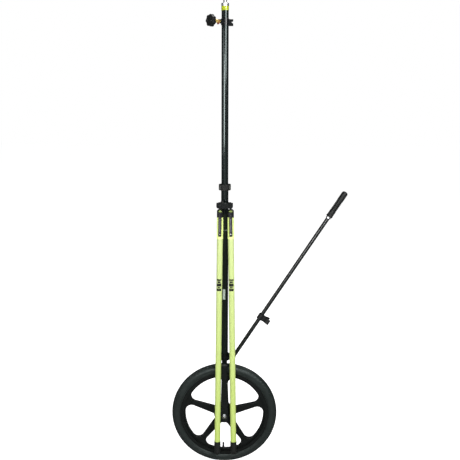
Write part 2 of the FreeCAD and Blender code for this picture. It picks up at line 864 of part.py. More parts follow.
def make_axle():
    """Bolt through the fork blades, its cap nut, washers and the spacers between them."""
    blade = "fork_inside + fork_bar"
    seat = f"{blade} + axle_washer_thickness"
    body = new_body("axle_bolt")
    pad(body, "axle_shank", "XY_Plane", [("0", "0", "axle_radius")],
        f"2 * ({seat}) + axle_thread_end", offset=f"-({seat})")
    pad(body, "axle_head", "XY_Plane", [hexagon("axle_hexagon")], "axle_head_height",
        offset=f"-({seat} + axle_head_height)")
    place(body, AXLE)
    keep(body, "axle_bolt")

    nut = new_body("axle_cap_nut")
    nut_top = f"{seat} + axle_nut_height"
    dome_top = f"{nut_top} + axle_dome_height"
    pad(nut, "nut_hexagon", "XY_Plane", [hexagon("axle_hexagon")], "axle_nut_height", offset=seat)
    pad(nut, "nut_dome", "XY_Plane", [("0", "0", "axle_dome_radius")], "axle_dome_height",
        offset=nut_top)
    round_edges(nut, "nut_dome_round", "axle_dome_round",
                lambda edge: abs(edge.BoundBox.ZMin - number(dome_top)) < TOUCH)
    pocket(nut, "nut_thread", "XY_Plane", [("0", "0", "axle_radius")],
           "axle_thread_end + 2 * running_gap", offset=seat, towards_normal=True)
    place(nut, AXLE)
    keep(nut, "axle_cap_nut")

    def ring(name, low, high, rim):
        body = new_body(name)
        revolve(body, name + "_turn", [
            ("axle_radius", low), (rim, low), (rim, high), ("axle_radius", high),
        ])
        place(body, AXLE)
        return body

    group("axle_washers", [
        ring("axle_washer_front", blade, seat, "axle_washer_radius"),
        ring("axle_washer_back", f"-({seat})", f"-({blade})", "axle_washer_radius"),
    ])
    bearing_seat = "hub_half_width - bearing_width"
    group("axle_spacers", [
        ring("axle_spacer_front", "hub_half_width", "fork_inside", "axle_spacer_radius"),
        ring("axle_spacer_back", "-fork_inside", "-hub_half_width", "axle_spacer_radius"),
        ring("axle_spacer_middle", f"-({bearing_seat})", bearing_seat, "axle_spacer_radius"),
    ])


# ---------------------------------------------------------------- fork and lower pole

def make_fork():
    """Flat bar bent to a square arch over the wheel, drilled for the axle and the pole."""
    body = new_body("fork")
    outside = "fork_inside + fork_bar"
    inner_bend = "fork_outer_bend - fork_bar"
    crown_low = "fork_top - fork_crown_bar"
    arch = [
        ("fork_inside", "fork_bottom"), (outside, "fork_bottom"),
        (outside, "fork_top - fork_outer_bend", "fork_outer_bend"),
        (f"{outside} - fork_outer_bend", "fork_top"),
        (f"-({outside} - fork_outer_bend)", "fork_top", "fork_outer_bend"),
        (f"-({outside})", "fork_top - fork_outer_bend"), (f"-({outside})", "fork_bottom"),
        ("-fork_inside", "fork_bottom"),
        ("-fork_inside", f"{crown_low} - ({inner_bend})", f"-({inner_bend})"),
        (f"-(fork_inside - ({inner_bend}))", crown_low),
        (f"fork_inside - ({inner_bend})", crown_low, f"-({inner_bend})"),
        ("fork_inside", f"{crown_low} - ({inner_bend})"),
    ]
    pad(body, "fork_arch", "YZ_Plane", [arch], "fork_blade_half * 2", symmetric=True)
    # From the front, the blade widens from the crown to the axle and ends in a half round.
    side = "fork_blade_half + fork_bar"
    above = "fork_top + fork_bar"
    waste = box_outline(f"-({side})", "fork_bottom - fork_bar", side, f"{above} + fork_bar")
    blade = [
        ("fork_crown_half", above), ("-fork_crown_half", above),
        ("-fork_crown_half", "fork_top - fork_neck"),
        ("-fork_blade_half", "wheel_radius + fork_flare"),
        ("-fork_blade_half", "fork_bottom + fork_blade_half", "fork_blade_half"),
        ("0", "fork_bottom", "fork_blade_half"),
        ("fork_blade_half", "fork_bottom + fork_blade_half"),
        ("fork_blade_half", "wheel_radius + fork_flare"),
        ("fork_crown_half", "fork_top - fork_neck"),
    ]
    pocket(body, "fork_taper", "XZ_Plane", [waste, blade], f"4 * ({outside})", symmetric=True)
    pocket(body, "fork_axle_hole", "XZ_Plane", [("0", "wheel_radius", "axle_radius")],
           f"4 * ({outside})", symmetric=True)
    pocket(body, "fork_crown_hole", "XY_Plane", [("0", "0", "crown_bolt_radius")], "through",
           offset="fork_top", symmetric=True)
    place(body, GROUND)
    keep(body, "fork")


def make_pole():
    """Lower tube with its foot plug, the crown bolt, the thin mark ring and the twist lock."""
    tube("lower_tube", "pole_radius", "pole_bore_radius", "pole_foot", "pole_head", GROUND)
    turned("pole_plug", [
        ("crown_bolt_radius", "fork_top"), ("plug_radius", "fork_top"),
        ("plug_radius", "pole_foot - plug_flange"), ("pole_radius", "pole_foot - plug_flange"),
        ("pole_radius", "pole_foot"), ("pole_bore_radius", "pole_foot"),
        ("pole_bore_radius", "pole_foot + plug_depth"),
        ("crown_bolt_radius", "pole_foot + plug_depth"),
    ], GROUND)
    crown = frame(z="fork_top - fork_crown_bar", rotation=UPSIDE_DOWN)
    keep(screw("crown_bolt", "crown_bolt", "crown_bolt_length", crown), "crown_bolt")
    tube("mark_ring", "pole_radius + ring_wall", "pole_radius", "ring_height - ring_half",
         "ring_height + ring_half", GROUND)

    lock_foot = "collar_foot + lock_inset"
    lock_top = "pole_head + lock_rise"
    collet_top = "pole_head + collet_height"
    turned("lock_body", [
        ("pole_radius", lock_foot), ("pole_radius + lock_wall", lock_foot),
        ("pole_radius + lock_wall", lock_top), ("mast_radius + free_gap", lock_top),
        ("mast_radius + free_gap", "pole_head"), ("pole_radius", "pole_head"),
    ], GROUND)
    collet = new_body("lock_collet")
    revolve(collet, "collet_turn", [
        ("mast_radius + running_gap", lock_top), ("mast_radius + collet_root", lock_top),
        ("mast_radius + collet_tip", collet_top), ("mast_radius + running_gap", collet_top),
    ])
    slit = pocket(collet, "collet_slit", "XY_Plane",
                  [box_outline("mast_radius - slit_width", "-slit_width / 2",
                               "mast_radius + lock_wall", "slit_width / 2")], "slit_depth",
                  offset=collet_top)
    repeat_round(collet, "collet_slits", slit, SLIT_COUNT)
    place(collet, GROUND)
    keep(collet, "lock_collet")

    collar = new_body("lock_collar")
    skirt = "pole_radius + lock_wall + collar_gap"
    revolve(collar, "collar_turn", [
        (skirt, "collar_foot"), ("collar_radius - collar_foot_bevel", "collar_foot"),
        ("collar_radius", "collar_foot + collar_foot_bevel"),
        ("collar_radius", "collar_top - collar_bevel"),
        ("collar_radius - collar_bevel", "collar_top"), ("mast_radius + collar_gap", "collar_top"),
        ("mast_radius + collar_gap", f"{collet_top} + cone_gap"),
        ("mast_radius + collet_tip + cone_gap", f"{collet_top} + cone_gap"),
        ("mast_radius + collet_root + cone_gap", f"{lock_top} + cone_gap"),
        (skirt, f"{lock_top} + cone_gap"),
    ])
    flute = pocket(collar, "collar_flute", "XY_Plane",
                   [("collar_radius + flute_radius - flute_depth", "0", "flute_radius")],
                   "flute_length", offset="collar_foot + flute_foot + flute_length")
    repeat_round(collar, "collar_flutes", flute, FLUTE_COUNT)
    place(collar, GROUND)
    keep(collar, "lock_collar")


# ---------------------------------------------------------------- sliding upper pole

def make_mast():
    """Upper tube, its guide bush, the coloured band, the top cap and the antenna stud."""
    tube("upper_tube", "mast_radius", "mast_bore_radius", "mast_foot", "mast_head", GROUND)
    bush_foot = "mast_foot - bush_rim"
    bush_head = "mast_foot + bush_plug"
    turned("guide_bush", [
        ("bush_bore_radius", bush_foot), ("pole_bore_radius - running_gap", bush_foot),
        ("pole_bore_radius - running_gap", "mast_foot"), ("mast_bore_radius", "mast_foot"),
        ("mast_bore_radius", bush_head), ("bush_bore_radius", bush_head),
    ], GROUND)
    tube("colour_band", "cap_radius", "mast_bore_radius", "band_foot", "cap_foot", GROUND)
    turned("top_cap", [
        ("spigot_radius", "band_foot - cap_plug"), ("mast_bore_radius", "band_foot - cap_plug"),
        ("mast_bore_radius", "cap_foot"), ("cap_radius - cap_edge", "cap_foot"),
        ("cap_radius", "cap_foot + cap_edge"), ("cap_radius", "cap_top - cap_bevel"),
        ("cap_radius - cap_bevel", "cap_top"), ("spigot_radius", "cap_top"),
    ], GROUND)
    stud_top = "cap_top + stud_length"
    turned("antenna_stud", [
        ("0", "band_foot - spigot_length"), ("spigot_radius", "band_foot - spigot_length"),
        ("spigot_radius", "cap_top"), ("stud_radius", "cap_top"),
        ("stud_radius", f"{stud_top} - stud_chamfer"), ("stud_radius - stud_chamfer", stud_top),
        ("0", stud_top),
    ], GROUND)


def make_top_clamp():
    """Collar on the upper tube with a notched ear to the side and a boss for the clamp screw."""
    ring = new_body("top_clamp_ring")
    pad(ring, "top_clamp_barrel", "XY_Plane", [("0", "0", "clamp_radius")], "clamp_height",
        offset="clamp_foot")
    ear_low = "clamp_foot - ear_drop"
    ear_high = "clamp_foot + clamp_height - ear_drop"
    ear_middle = "clamp_foot + clamp_height / 2 - notch_drop"
    ear = [
        ("0", "clamp_foot"), ("clamp_radius", ear_low), ("ear_reach", ear_low),
        ("ear_reach", f"{ear_middle} - notch_half"), ("ear_reach - notch_depth", ear_middle),
        ("ear_reach", f"{ear_middle} + notch_half"), ("ear_reach", ear_high), ("0", ear_high),
    ]
    pad(ring, "top_clamp_ear", "XZ_Plane", [ear], "ear_thickness", symmetric=True)
    bevel_edges(ring, "top_clamp_bevel", "clamp_bevel",
                lambda edge: isinstance(edge.Curve, Part.Circle)
                and edge.BoundBox.ZMax > number("clamp_foot + clamp_height") - TOUCH)
    place(ring, GROUND)

    boss = doc.addObject("Part::Cylinder", "top_clamp_boss")
    bind(boss, "Radius", "boss_radius")
    bind(boss, "Height", "boss_reach")
    place(boss, KNOB)
    joined = doc.addObject("Part::MultiFuse", "top_clamp_joined")
    joined.Shapes = [ring, boss]

    bore = doc.addObject("Part::Cylinder", "top_clamp_bore")
    bind(bore, "Radius", "mast_radius")
    bind(bore, "Height", "clamp_height * 2")
    place(bore, frame(z="clamp_foot - clamp_height / 2"))
    thread = doc.addObject("Part::Cylinder", "top_clamp_thread")
    bind(thread, "Radius", "screw_radius + running_gap")
    bind(thread, "Height", "boss_reach * 2")
    place(thread, KNOB)
    holes = doc.addObject("Part::MultiFuse", "top_clamp_holes")
    holes.Shapes = [bore, thread]
    cut = doc.addObject("Part::Cut", "top_clamp_cut")
    cut.Base = joined
    cut.Tool = holes
    doc.recompute()
    keep(cut, "top_clamp")


def make_clamp_screw():
    """Brass screw with a grooved shoulder, a tabbed red washer in the groove and a star knob."""
    washer = new_body("clamp_washer")
    pad(washer, "washer_disc", "XY_Plane", [("0", "0", "washer_radius")], "washer_thickness",
        offset="washer_seat")
    tab = box_outline("-washer_tab_half", "-washer_tab", "washer_tab_half", "0")
    pad(washer, "washer_tab_plate", "XY_Plane", [tab], "washer_thickness", offset="washer_seat")
    pocket(washer, "washer_bore", "XY_Plane", [("0", "0", "screw_groove_radius + running_gap")],
           "washer_thickness", offset="washer_seat + washer_thickness")
    place(washer, KNOB)
    keep(washer, "clamp_washer")

    shoulder = "boss_reach + free_gap"
    groove_low = "washer_seat - running_gap"
    groove_high = "washer_seat + washer_thickness + running_gap"
    stud_tip = "mast_radius + screw_tip_gap"
    stud_end = "knob_reach + knob_insert"
    turned("clamp_stud", [
        ("0", stud_tip), ("screw_radius", stud_tip), ("screw_radius", shoulder),
        ("screw_shoulder_radius", shoulder), ("screw_shoulder_radius", groove_low),
        ("screw_groove_radius", groove_low), ("screw_groove_radius", groove_high),
        ("screw_shoulder_radius", groove_high),
        ("screw_shoulder_radius", "knob_reach"), ("screw_radius", "knob_reach"),
        ("screw_radius", stud_end), ("0", stud_end),
    ], KNOB)

    knob = new_body("star_knob")
    pad(knob, "knob_disc", "XY_Plane", [("0", "0", "knob_radius - knob_valley")],
        "knob_thickness", offset="knob_reach")
    lobe = pad(knob, "knob_lobe", "XY_Plane",
               [("-(knob_radius - knob_lobe_radius)", "0", "knob_lobe_radius")], "knob_thickness",
               offset="knob_reach")
    repeat_round(knob, "knob_lobes", lobe, LOBE_COUNT)
    pocket(knob, "knob_bore", "XY_Plane", [("0", "0", "screw_radius")], "knob_insert",
           offset="knob_reach", towards_normal=True)
    face = number("knob_reach + knob_thickness")
    round_edges(knob, "knob_face_edge", "knob_face_round",
                lambda edge: edge.BoundBox.ZMin > face - TOUCH)
    place(knob, KNOB)
    keep(knob, "star_knob")


# ---------------------------------------------------------------- push handle

def make_handle_bracket():
    """Split ring on the pole's foot with two ears at the side for the handle's pivot."""
    body = new_body("handle_bracket")
    low = "handle_pivot_z - bracket_half"
    high = "handle_pivot_z + bracket_half"
    above = "handle_pivot_z + through / 2"
    cheek_inside = "handle_rod_radius + free_gap"
    cheek_outside = f"{cheek_inside} + cheek_thickness"
    pad(body, "bracket_ring", "XY_Plane", [("0", "0", "pole_radius + bracket_wall")],
        "2 * bracket_half", offset=low)
    cheek = [
        ("0", low), ("handle_pivot_x", "handle_pivot_z - cheek_radius", "cheek_radius"),
        ("handle_pivot_x + cheek_radius", "handle_pivot_z", "cheek_radius"),
        ("handle_pivot_x", "handle_pivot_z + cheek_radius"), ("0", high),
    ]
    pad(body, "bracket_cheeks", "XZ_Plane", [cheek], f"2 * ({cheek_outside})", symmetric=True)
    pinch_block = box_outline("-pinch_half_width", "pole_radius + bracket_wall / 2",
                              "pinch_half_width", "pole_radius + pinch_reach")
    pad(body, "bracket_pinch", "XY_Plane", [pinch_block], "2 * pinch_half_height",
        offset="handle_pivot_z - pinch_half_height")
    gap = box_outline("pole_radius + cheek_root", f"-({cheek_inside})",
                      "handle_pivot_x + 2 * cheek_radius", cheek_inside)
    pocket(body, "bracket_slot", "XY_Plane", [gap], "through", offset=above)
    pocket(body, "bracket_bore", "XY_Plane", [("0", "0", "pole_radius")], "through", offset=above)
    split = box_outline("-split_half", "pole_radius - split_half", "split_half",
                        "pole_radius + pinch_reach + split_half")
    pocket(body, "bracket_split", "XY_Plane", [split], "through", offset=above)
    pocket(body, "bracket_pivot_hole", "XZ_Plane",
           [("handle_pivot_x", "handle_pivot_z", "pivot_radius")], "through", symmetric=True)
    pocket(body, "bracket_pinch_hole", "YZ_Plane",
           [("pole_radius + pinch_hole", "handle_pivot_z", "pinch_screw_radius")], "through",
           symmetric=True)
    place(body, GROUND)
    keep(body, "handle_bracket")

    pinch = frame("pinch_half_width", "pole_radius + pinch_hole", "handle_pivot_z", TO_SIDE)
    keep(screw("bracket_screw", "pinch_screw", "pinch_screw_length", pinch), "bracket_screw")

    pivot = frame("handle_pivot_x", "0", "handle_pivot_z", TO_FRONT)
    bolt = new_body("handle_pivot_bolt")
    pad(bolt, "pivot_shank", "XY_Plane", [("0", "0", "pivot_radius")],
        f"2 * ({cheek_outside}) + pivot_thread_end",
        offset=f"-({cheek_outside} + pivot_thread_end)")
    pad(bolt, "pivot_head", "XY_Plane", [hexagon("pivot_hexagon")], "pivot_head_height",
        offset=cheek_outside)
    place(bolt, pivot)
    keep(bolt, "handle_pivot_bolt")
    nut = new_body("handle_pivot_nut")
    pad(nut, "pivot_nut", "XY_Plane", [hexagon("pivot_hexagon"), ("0", "0", "pivot_radius")],
        "pivot_nut_height", offset=f"-({cheek_outside} + pivot_nut_height)")
    place(nut, pivot)
    keep(nut, "handle_pivot_nut")


def make_handle():
    """Rod with an eye at its foot, a ring and a ribbed grip at its end."""
    bore = "handle_rod_radius - handle_rod_wall"
    eye = new_body("rod_eye")
    pad(eye, "eye_disc", "XZ_Plane", [("0", "0", "eye_radius")],
        "2 * (handle_rod_radius - eye_play)", symmetric=True)
    pad(eye, "eye_collar", "XY_Plane", [("0", "0", "handle_rod_radius - 3 * eye_play")], "eye_neck")
    pad(eye, "eye_plug", "XY_Plane", [("0", "0", bore)], "eye_spigot", offset="eye_neck")
    pocket(eye, "eye_hole", "XZ_Plane", [("0", "0", "pivot_radius + running_gap")], "through",
           symmetric=True)
    place(eye, HANDLE)
    keep(eye, "rod_eye")

    rod_end = "handle_length - grip_end_wall"
    grip_foot = "handle_length - grip_length"
    tube("push_rod", "handle_rod_radius", bore, "eye_neck", rod_end, HANDLE)
    tube("grip_ring", "handle_rod_radius + grip_ring_wall", "handle_rod_radius",
         f"{grip_foot} - grip_ring_height", grip_foot, HANDLE)

    # The grip: a flange at its foot, a plain barrel with a waist of ribs, and a round end.
    flange_top = f"{grip_foot} + grip_flange_height"
    outline = [
        ("handle_rod_radius", grip_foot), ("grip_radius + grip_flange", grip_foot),
        ("grip_radius + grip_flange", flange_top),
        ("grip_radius", f"{flange_top} + grip_flange_slope"),
    ]
    for rib in range(RIB_COUNT):
        start = f"{grip_foot} + rib_foot + {rib} * rib_pitch"
        valley = "grip_radius - rib_depth"
        outline += [
            ("grip_radius", start), (valley, f"{start} + rib_slope"),
            (valley, f"{start} + rib_slope + rib_valley"),
            ("grip_radius", f"{start} + 2 * rib_slope + rib_valley"),
        ]
    outline += [
        ("grip_radius", "handle_length - grip_end_round", "grip_end_round"),
        ("grip_radius - grip_end_round", "handle_length"), ("0", "handle_length"), ("0", rod_end),
        ("handle_rod_radius", rod_end),
    ]
    turned("grip", outline, HANDLE)


def make_rod_clip():
    """Clip that turns on the handle's rod: a collar, an arm and an open jaw as wide as the pole."""
    body = new_body("rod_clip")
    low = "clip_height - clip_length / 2"
    jaw_low = f"{low} + clip_inset"
    jaw_length = "clip_length - 2 * clip_inset"
    jaw_bore = "pole_radius + jaw_gap"
    above = "clip_height + through / 2"
    pad(body, "clip_collar", "XY_Plane", [("0", "0", "handle_rod_radius + clip_wall")],
        "clip_length", offset=low)
    pad(body, "clip_jaw", "XY_Plane", [("handle_pivot_x", "0", f"{jaw_bore} + jaw_wall")],
        jaw_length, offset=jaw_low)
    arm = box_outline("0", "-clip_arm_half", "handle_pivot_x - pole_radius", "clip_arm_half")
    pad(body, "clip_arm", "XY_Plane", [arm], jaw_length, offset=jaw_low)
    pocket(body, "clip_jaw_bore", "XY_Plane", [("handle_pivot_x", "0", jaw_bore)], "through",
           offset=above)
    mouth = box_outline("clip_reach", "-2 * pole_radius", "clip_reach + 2 * pole_radius",
                        "2 * pole_radius")
    pocket(body, "clip_mouth", "XY_Plane", [mouth], "through", offset=above)
    pocket(body, "clip_rod_bore", "XY_Plane", [("0", "0", "handle_rod_radius + running_gap")],
           "through", offset=above)
    place(body, HANDLE)
    keep(body, "rod_clip")


# ---------------------------------------------------------------- bipod head

def make_bipod_head():
    """Saddle and rear clamp on the pole, and the hinge block that the two legs hang from."""
    foot = "hinge_z - saddle_foot"
    height = "saddle_foot + saddle_top"
    above = "hinge_z + through / 2"
    back_face = "hinge_y + block_half_depth"
    front_face = "hinge_y - block_half_depth"
    rear_z = "hinge_z - rear_screw_drop"
    pivots = {"left": "hinge_shift - hinge_x", "right": "hinge_shift + hinge_x"}
    front_holes = [
        ("hinge_shift - front_screw_x", "hinge_z", "head_screw_radius"),
        ("hinge_shift + front_screw_x", "hinge_z", "head_screw_radius"),
    ]
    rear_holes = [
        ("-rear_screw_x", rear_z, "head_screw_radius"), ("rear_screw_x", rear_z, "head_screw_radius"),
    ]

    saddle = new_body("bipod_saddle")
    plan = rounded_outline("-saddle_half_width", back_face, "saddle_half_width", "-saddle_split",
                           "saddle_corner")
    pad(saddle, "saddle_block", "XY_Plane", [plan], height, offset=foot)
    pocket(saddle, "saddle_bore", "XY_Plane", [("0", "0", "pole_radius")], "through", offset=above)
    pocket(saddle, "saddle_front_holes", "XZ_Plane", front_holes, "block_half_depth",
           offset=f"-({back_face})")
    pocket(saddle, "saddle_rear_holes", "XZ_Plane", rear_holes,
           "head_screw_rear_length - flange_depth + head_screw_head_height", towards_normal=True)
    place(saddle, GROUND)
    keep(saddle, "bipod_saddle")

    rear = new_body("bipod_clamp")
    flange = box_outline("-saddle_half_width", "saddle_split", "saddle_half_width", "flange_depth")
    pad(rear, "clamp_flange", "XY_Plane", [flange], height, offset=foot)
    bow = "(pole_radius + bow_wall)"
    arch = [
        (bow, "saddle_split", bow), ("0", f"{bow} + saddle_split", bow), (f"-{bow}", "saddle_split"),
    ]
    pad(rear, "clamp_bow", "XY_Plane", [arch], height, offset=foot)
    pocket(rear, "clamp_bore", "XY_Plane", [("0", "0", "pole_radius")], "through", offset=above)
    pocket(rear, "clamp_holes", "XZ_Plane", rear_holes, "through", symmetric=True)
    place(rear, GROUND)
    keep(rear, "bipod_clamp")

    block = new_body("bipod_hinge_block")
    low = "hinge_z - block_foot"
    top = "hinge_z + block_top"
    side = "block_half_width"
    outline = [
        (side, f"{low} + block_corner"), (side, f"{top} - block_bevel"),
        (f"{side} - block_bevel", top), (f"-({side} - block_bevel)", top),
        (f"-{side}", f"{top} - block_bevel"),
        (f"-{side}", f"{low} + block_corner", "block_corner"), (f"-({side} - block_corner)", low),
        (f"{side} - block_corner", low, "block_corner"),
    ]
    pad(block, "hinge_plate", "XZ_Plane", [outline], "block_half_depth * 2",
        offset=f"-({back_face})")
    slot_front = "hinge_y - slot_half_depth"
    slot_back = "hinge_y + slot_half_depth"
    beyond = f"{side} + slot_clearance"
    right_slot = box_outline(f"{pivots['right']} - slot_clearance", slot_front, beyond, slot_back)
    left_slot = box_outline(f"-({beyond})", slot_front, f"{pivots['left']} + slot_clearance",
                            slot_back)
    pocket(block, "hinge_slots", "XY_Plane", [right_slot, left_slot], "through",
           offset=f"{top} - slot_roof")
    pivot_holes = [(x, "hinge_z", "hinge_bolt_radius") for x in pivots.values()]
    pocket(block, "hinge_holes", "XZ_Plane", pivot_holes + front_holes, "4 * through",
           symmetric=True)
    place(block, GROUND)
    keep(block, "bipod_hinge_block")

    screws = []
    for index, (x, z, _) in enumerate(front_holes):
        where = frame(x, front_face, z, TO_FRONT)
        screws.append(screw(f"front_screw_{index}", "head_screw", "head_screw_front_length", where))
    for index, (x, z, _) in enumerate(rear_holes):
        where = frame(x, "flange_depth", z, TO_BACK)
        screws.append(screw(f"rear_screw_{index}", "head_screw", "head_screw_rear_length", where))
    group("bipod_screws", screws)
    bolts = []
    for side_name, x in pivots.items():
        where = frame(x, front_face, "hinge_z", TO_FRONT)
        bolts.append(screw(f"hinge_bolt_{side_name}", "hinge_bolt", "hinge_bolt_length", where))
    group("hinge_bolts", bolts)

    skirt_top = f"{top} + cap_nut_skirt"
    turned("head_cap_nut", [
        ("0", top), ("cap_nut_radius", top), ("cap_nut_radius", skirt_top, "cap_nut_radius"),
        ("0", f"{skirt_top} + cap_nut_radius"),
    ], frame("cap_nut_x", "hinge_y"))


# ---------------------------------------------------------------- legs

def make_leg(side):
    """One leg, in the frame of its upper hinge: knuckle, rod, outer tube, lock, boot and lever."""
    where = LEGS[side]
    make_leg_tubes(side, where)
    make_leg_lock(side, where)
    make_lever(side, where)


def make_leg_tubes(side, where):
    """Knuckle on the hinge bolt, rod that swings on the knuckle, sliding outer tube and boot."""
    swing = "-swing_drop"
    knuckle = new_body(f"{side}_knuckle")
    pad(knuckle, f"{side}_knuckle_eye", "XZ_Plane", [("0", "0", "knuckle_radius")],
        "knuckle_thickness", symmetric=True)
    pad(knuckle, f"{side}_knuckle_tongue", "YZ_Plane",
        [box_outline("-tongue_half", swing, "tongue_half", "0")], "tongue_width", symmetric=True)
    pad(knuckle, f"{side}_knuckle_foot", "YZ_Plane", [("0", swing, "tongue_foot_radius")],
        "tongue_width", symmetric=True)
    pad(knuckle, f"{side}_knuckle_trunnions", "YZ_Plane", [("0", swing, "trunnion_radius")],
        "trunnion_length", symmetric=True)
    pocket(knuckle, f"{side}_knuckle_hole", "XZ_Plane",
           [("0", "0", "hinge_bolt_radius + running_gap")], "through", symmetric=True)
    place(knuckle, where)
    keep(knuckle, f"{side}_knuckle")

    rod = new_body(f"{side}_leg_rod")
    head_low = "-(swing_drop + rod_head_drop)"
    head_high = "rod_head_rise - swing_drop"
    bore = "leg_rod_radius - leg_rod_wall"
    revolve(rod, f"{side}_rod_turn", [
        ("0", head_low), ("0", head_high), ("rod_head_radius", head_high),
        ("rod_head_radius", head_low), ("leg_rod_radius", head_low),
        ("leg_rod_radius", "-leg_rod_foot"), (bore, "-leg_rod_foot"), (bore, head_low),
    ])
    fork = box_outline("-rod_fork_half", "-(swing_drop + rod_fork_depth)", "rod_fork_half", "0")
    pocket(rod, f"{side}_rod_fork", "XZ_Plane", [fork], "through", symmetric=True)
    pocket(rod, f"{side}_rod_hole", "YZ_Plane", [("0", swing, "trunnion_radius + running_gap")],
           "through", symmetric=True)
    place(rod, where)
    keep(rod, f"{side}_leg_rod")

    tube(f"{side}_leg_tube", "leg_tube_radius", "leg_tube_radius - leg_tube_wall",
         "-leg_tube_foot", "-housing_foot", where)
    tube(f"{side}_sleeve", "sleeve_radius", "leg_tube_radius", "-sleeve_foot", "-housing_foot",
         where)
    outside = "leg_tube_radius + boot_wall"
    turned(f"{side}_boot", [
        ("leg_tube_radius", "-boot_top"), (outside, "-boot_top"),
        (outside, "-(boot_foot - boot_taper_foot - boot_taper)"),
        ("boot_toe_radius", "-(boot_foot - boot_taper_foot)"), ("boot_tip_radius", "-boot_foot"),
        ("0", "-boot_foot"), ("0", "-leg_tube_foot"), ("leg_tube_radius", "-leg_tube_foot"),
    ], where)


def make_leg_lock(side, where):
    """Cup-shaped housing on top of the outer tube, and the thumb button that releases its lock."""
    housing = new_body(f"{side}_lock_housing")
    rod_gap = "leg_rod_radius + free_gap"
    rim = "sleeve_radius - housing_bevel"
    floor = "-(housing_foot - housing_floor)"
    revolve(housing, f"{side}_housing_turn", [
        (rod_gap, "-housing_foot"), ("sleeve_radius", "-housing_foot"),
        ("sleeve_radius", "-(housing_top + housing_bevel_height)"), (rim, "-housing_top"),
        ("housing_cup_radius", "-housing_top"), ("housing_cup_radius", floor), (rod_gap, floor),
    ])
    plan = rounded_outline("-lock_boss_half", "-lock_boss_front", "lock_boss_half",
                           "-lock_boss_back", "lock_boss_corner")
    pad(housing, f"{side}_housing_boss", "XY_Plane", [plan], "housing_foot - lock_boss_rise - shelf",
        offset="lock_boss_rise - housing_foot")
    slot_half = "lever_half_width + lever_slot_gap"
    slot = box_outline(f"-({slot_half})", "-2 * lock_boss_front", slot_half, "-lever_slot_back")
    pocket(housing, f"{side}_housing_slot", "XY_Plane", [slot], "through",
           offset="-(shelf + shelf_step)")
    pocket(housing, f"{side}_housing_pin_hole", "YZ_Plane",
           [("lever_pivot_y", "-lever_pivot_drop", "lever_pin_radius + running_gap")], "through",
           symmetric=True)
    pocket(housing, f"{side}_housing_button_hole", "XY_Plane",
           [("0", "button_stem_y", "button_stem_radius + free_gap")], "lock_boss_back",
           offset="-(shelf - 1)")
    place(housing, where)
    keep(housing, f"{side}_lock_housing")

    button = new_body(f"{side}_thumb_button")
    dome_radius = "(button_half_width ^ 2 + button_rise ^ 2) / (2 * button_rise)"
    dome = [
        ("-button_half_width", "-button_foot"), ("button_half_width", "-button_foot", dome_radius),
        ("0", "button_rise - button_foot", dome_radius),
    ]
    pad(button, f"{side}_button_dome", "XZ_Plane", [dome], "button_depth", offset="button_back")
    front = number("-(button_back + button_depth)")
    foot = number("-button_foot")
    round_edges(button, f"{side}_button_edge", "button_round",
                lambda edge: edge.BoundBox.YMax < front + TOUCH and edge.BoundBox.ZMax > foot + TOUCH)
    pad(button, f"{side}_button_stem", "XY_Plane", [("0", "button_stem_y", "button_stem_radius")],
        "button_stem_length + button_stem_root", offset="-(button_foot + button_stem_length)")
    place(button, where)
    keep(button, f"{side}_thumb_button")


def make_lever(side, where):
    """Squeeze lever with a bulged face, pinned in the housing's slot and leaning a little forward."""
    lever = new_body(f"{side}_lever")
    wide = "lever_half_width"
    bulge_radius = f"({wide} ^ 2 + lever_bulge ^ 2) / (2 * lever_bulge)"
    back = "lever_thickness / 2"
    section = [
        (wide, back), (f"-{wide}", back), (f"-{wide}", f"-({back})", bulge_radius),
        ("0", f"-({back} + lever_bulge)", bulge_radius), (wide, f"-({back})"),
    ]
    pad(lever, f"{side}_lever_bar", "XY_Plane", [section], "lever_length + lever_head",
        offset="-lever_length")
    round_edges(lever, f"{side}_lever_corners", "lever_corner",
                lambda edge: isinstance(edge.Curve, Part.Line)
                and edge.BoundBox.ZLength < TOUCH and edge.BoundBox.XLength < TOUCH)
    pad(lever, f"{side}_lever_pin", "YZ_Plane", [("0", "0", "lever_pin_radius")],
        "lever_pin_length", symmetric=True)
    pad(lever, f"{side}_lever_rivet", "XZ_Plane",
        [("0", "rivet_rise - lever_length", "rivet_radius")], "lever_bulge + rivet_proud",
        offset=back)
    offset = where["rotation"].multVec(
        Vector(0, number("lever_pivot_y"), -number("lever_pivot_drop")))
    tilt = Rotation(X_AXIS, -number("lever_tilt"))
    place(lever, {
        "x": f"{where['x']} + {offset.x:.6f}", "y": f"hinge_y + {offset.y:.6f}",
        "z": f"hinge_z + {offset.z:.6f}", "rotation": where["rotation"] * tilt,
    })
    keep(lever, f"{side}_lever")


# ---------------------------------------------------------------- build and write

make_wheel_core()
make_tyre()
make_inner_tube()
make_valve()
make_bearings()
make_axle()
make_fork()
make_pole()
make_mast()
make_top_clamp()
make_clamp_screw()
make_handle_bracket()
make_handle()
make_rod_clip()
make_bipod_head()
for leg_side in LEGS:
    make_leg(leg_side)
doc.recompute()

faults = []
for thing in doc.Objects:
    if "Invalid" in thing.State or "Error" in thing.State:
        faults.append(f"{thing.Name}: {thing.State}")
for thing in subparts:
    if thing.Shape.isNull() or not thing.Shape.isValid() or not thing.Shape.Solids:
        faults.append(f"{thing.Label}: no valid solid")
if faults:
    raise RuntimeError("; ".join(faults))

os.makedirs("parts", exist_ok=True)
for thing in subparts:
    thing.Shape.exportStep(f"parts/{thing.Label}.step")
    print(f"{thing.Label}: {len(thing.Shape.Solids)} solids, {thing.Shape.Volume / 1000:.2f} cm3")
print(f"{len(subparts)} sub-parts")
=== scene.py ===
"""Looks of the wheeled surveying pole: a material for every CAD node, and finer meshes on top."""

import json
import math

import bmesh
import bpy
from mathutils import Matrix, Vector


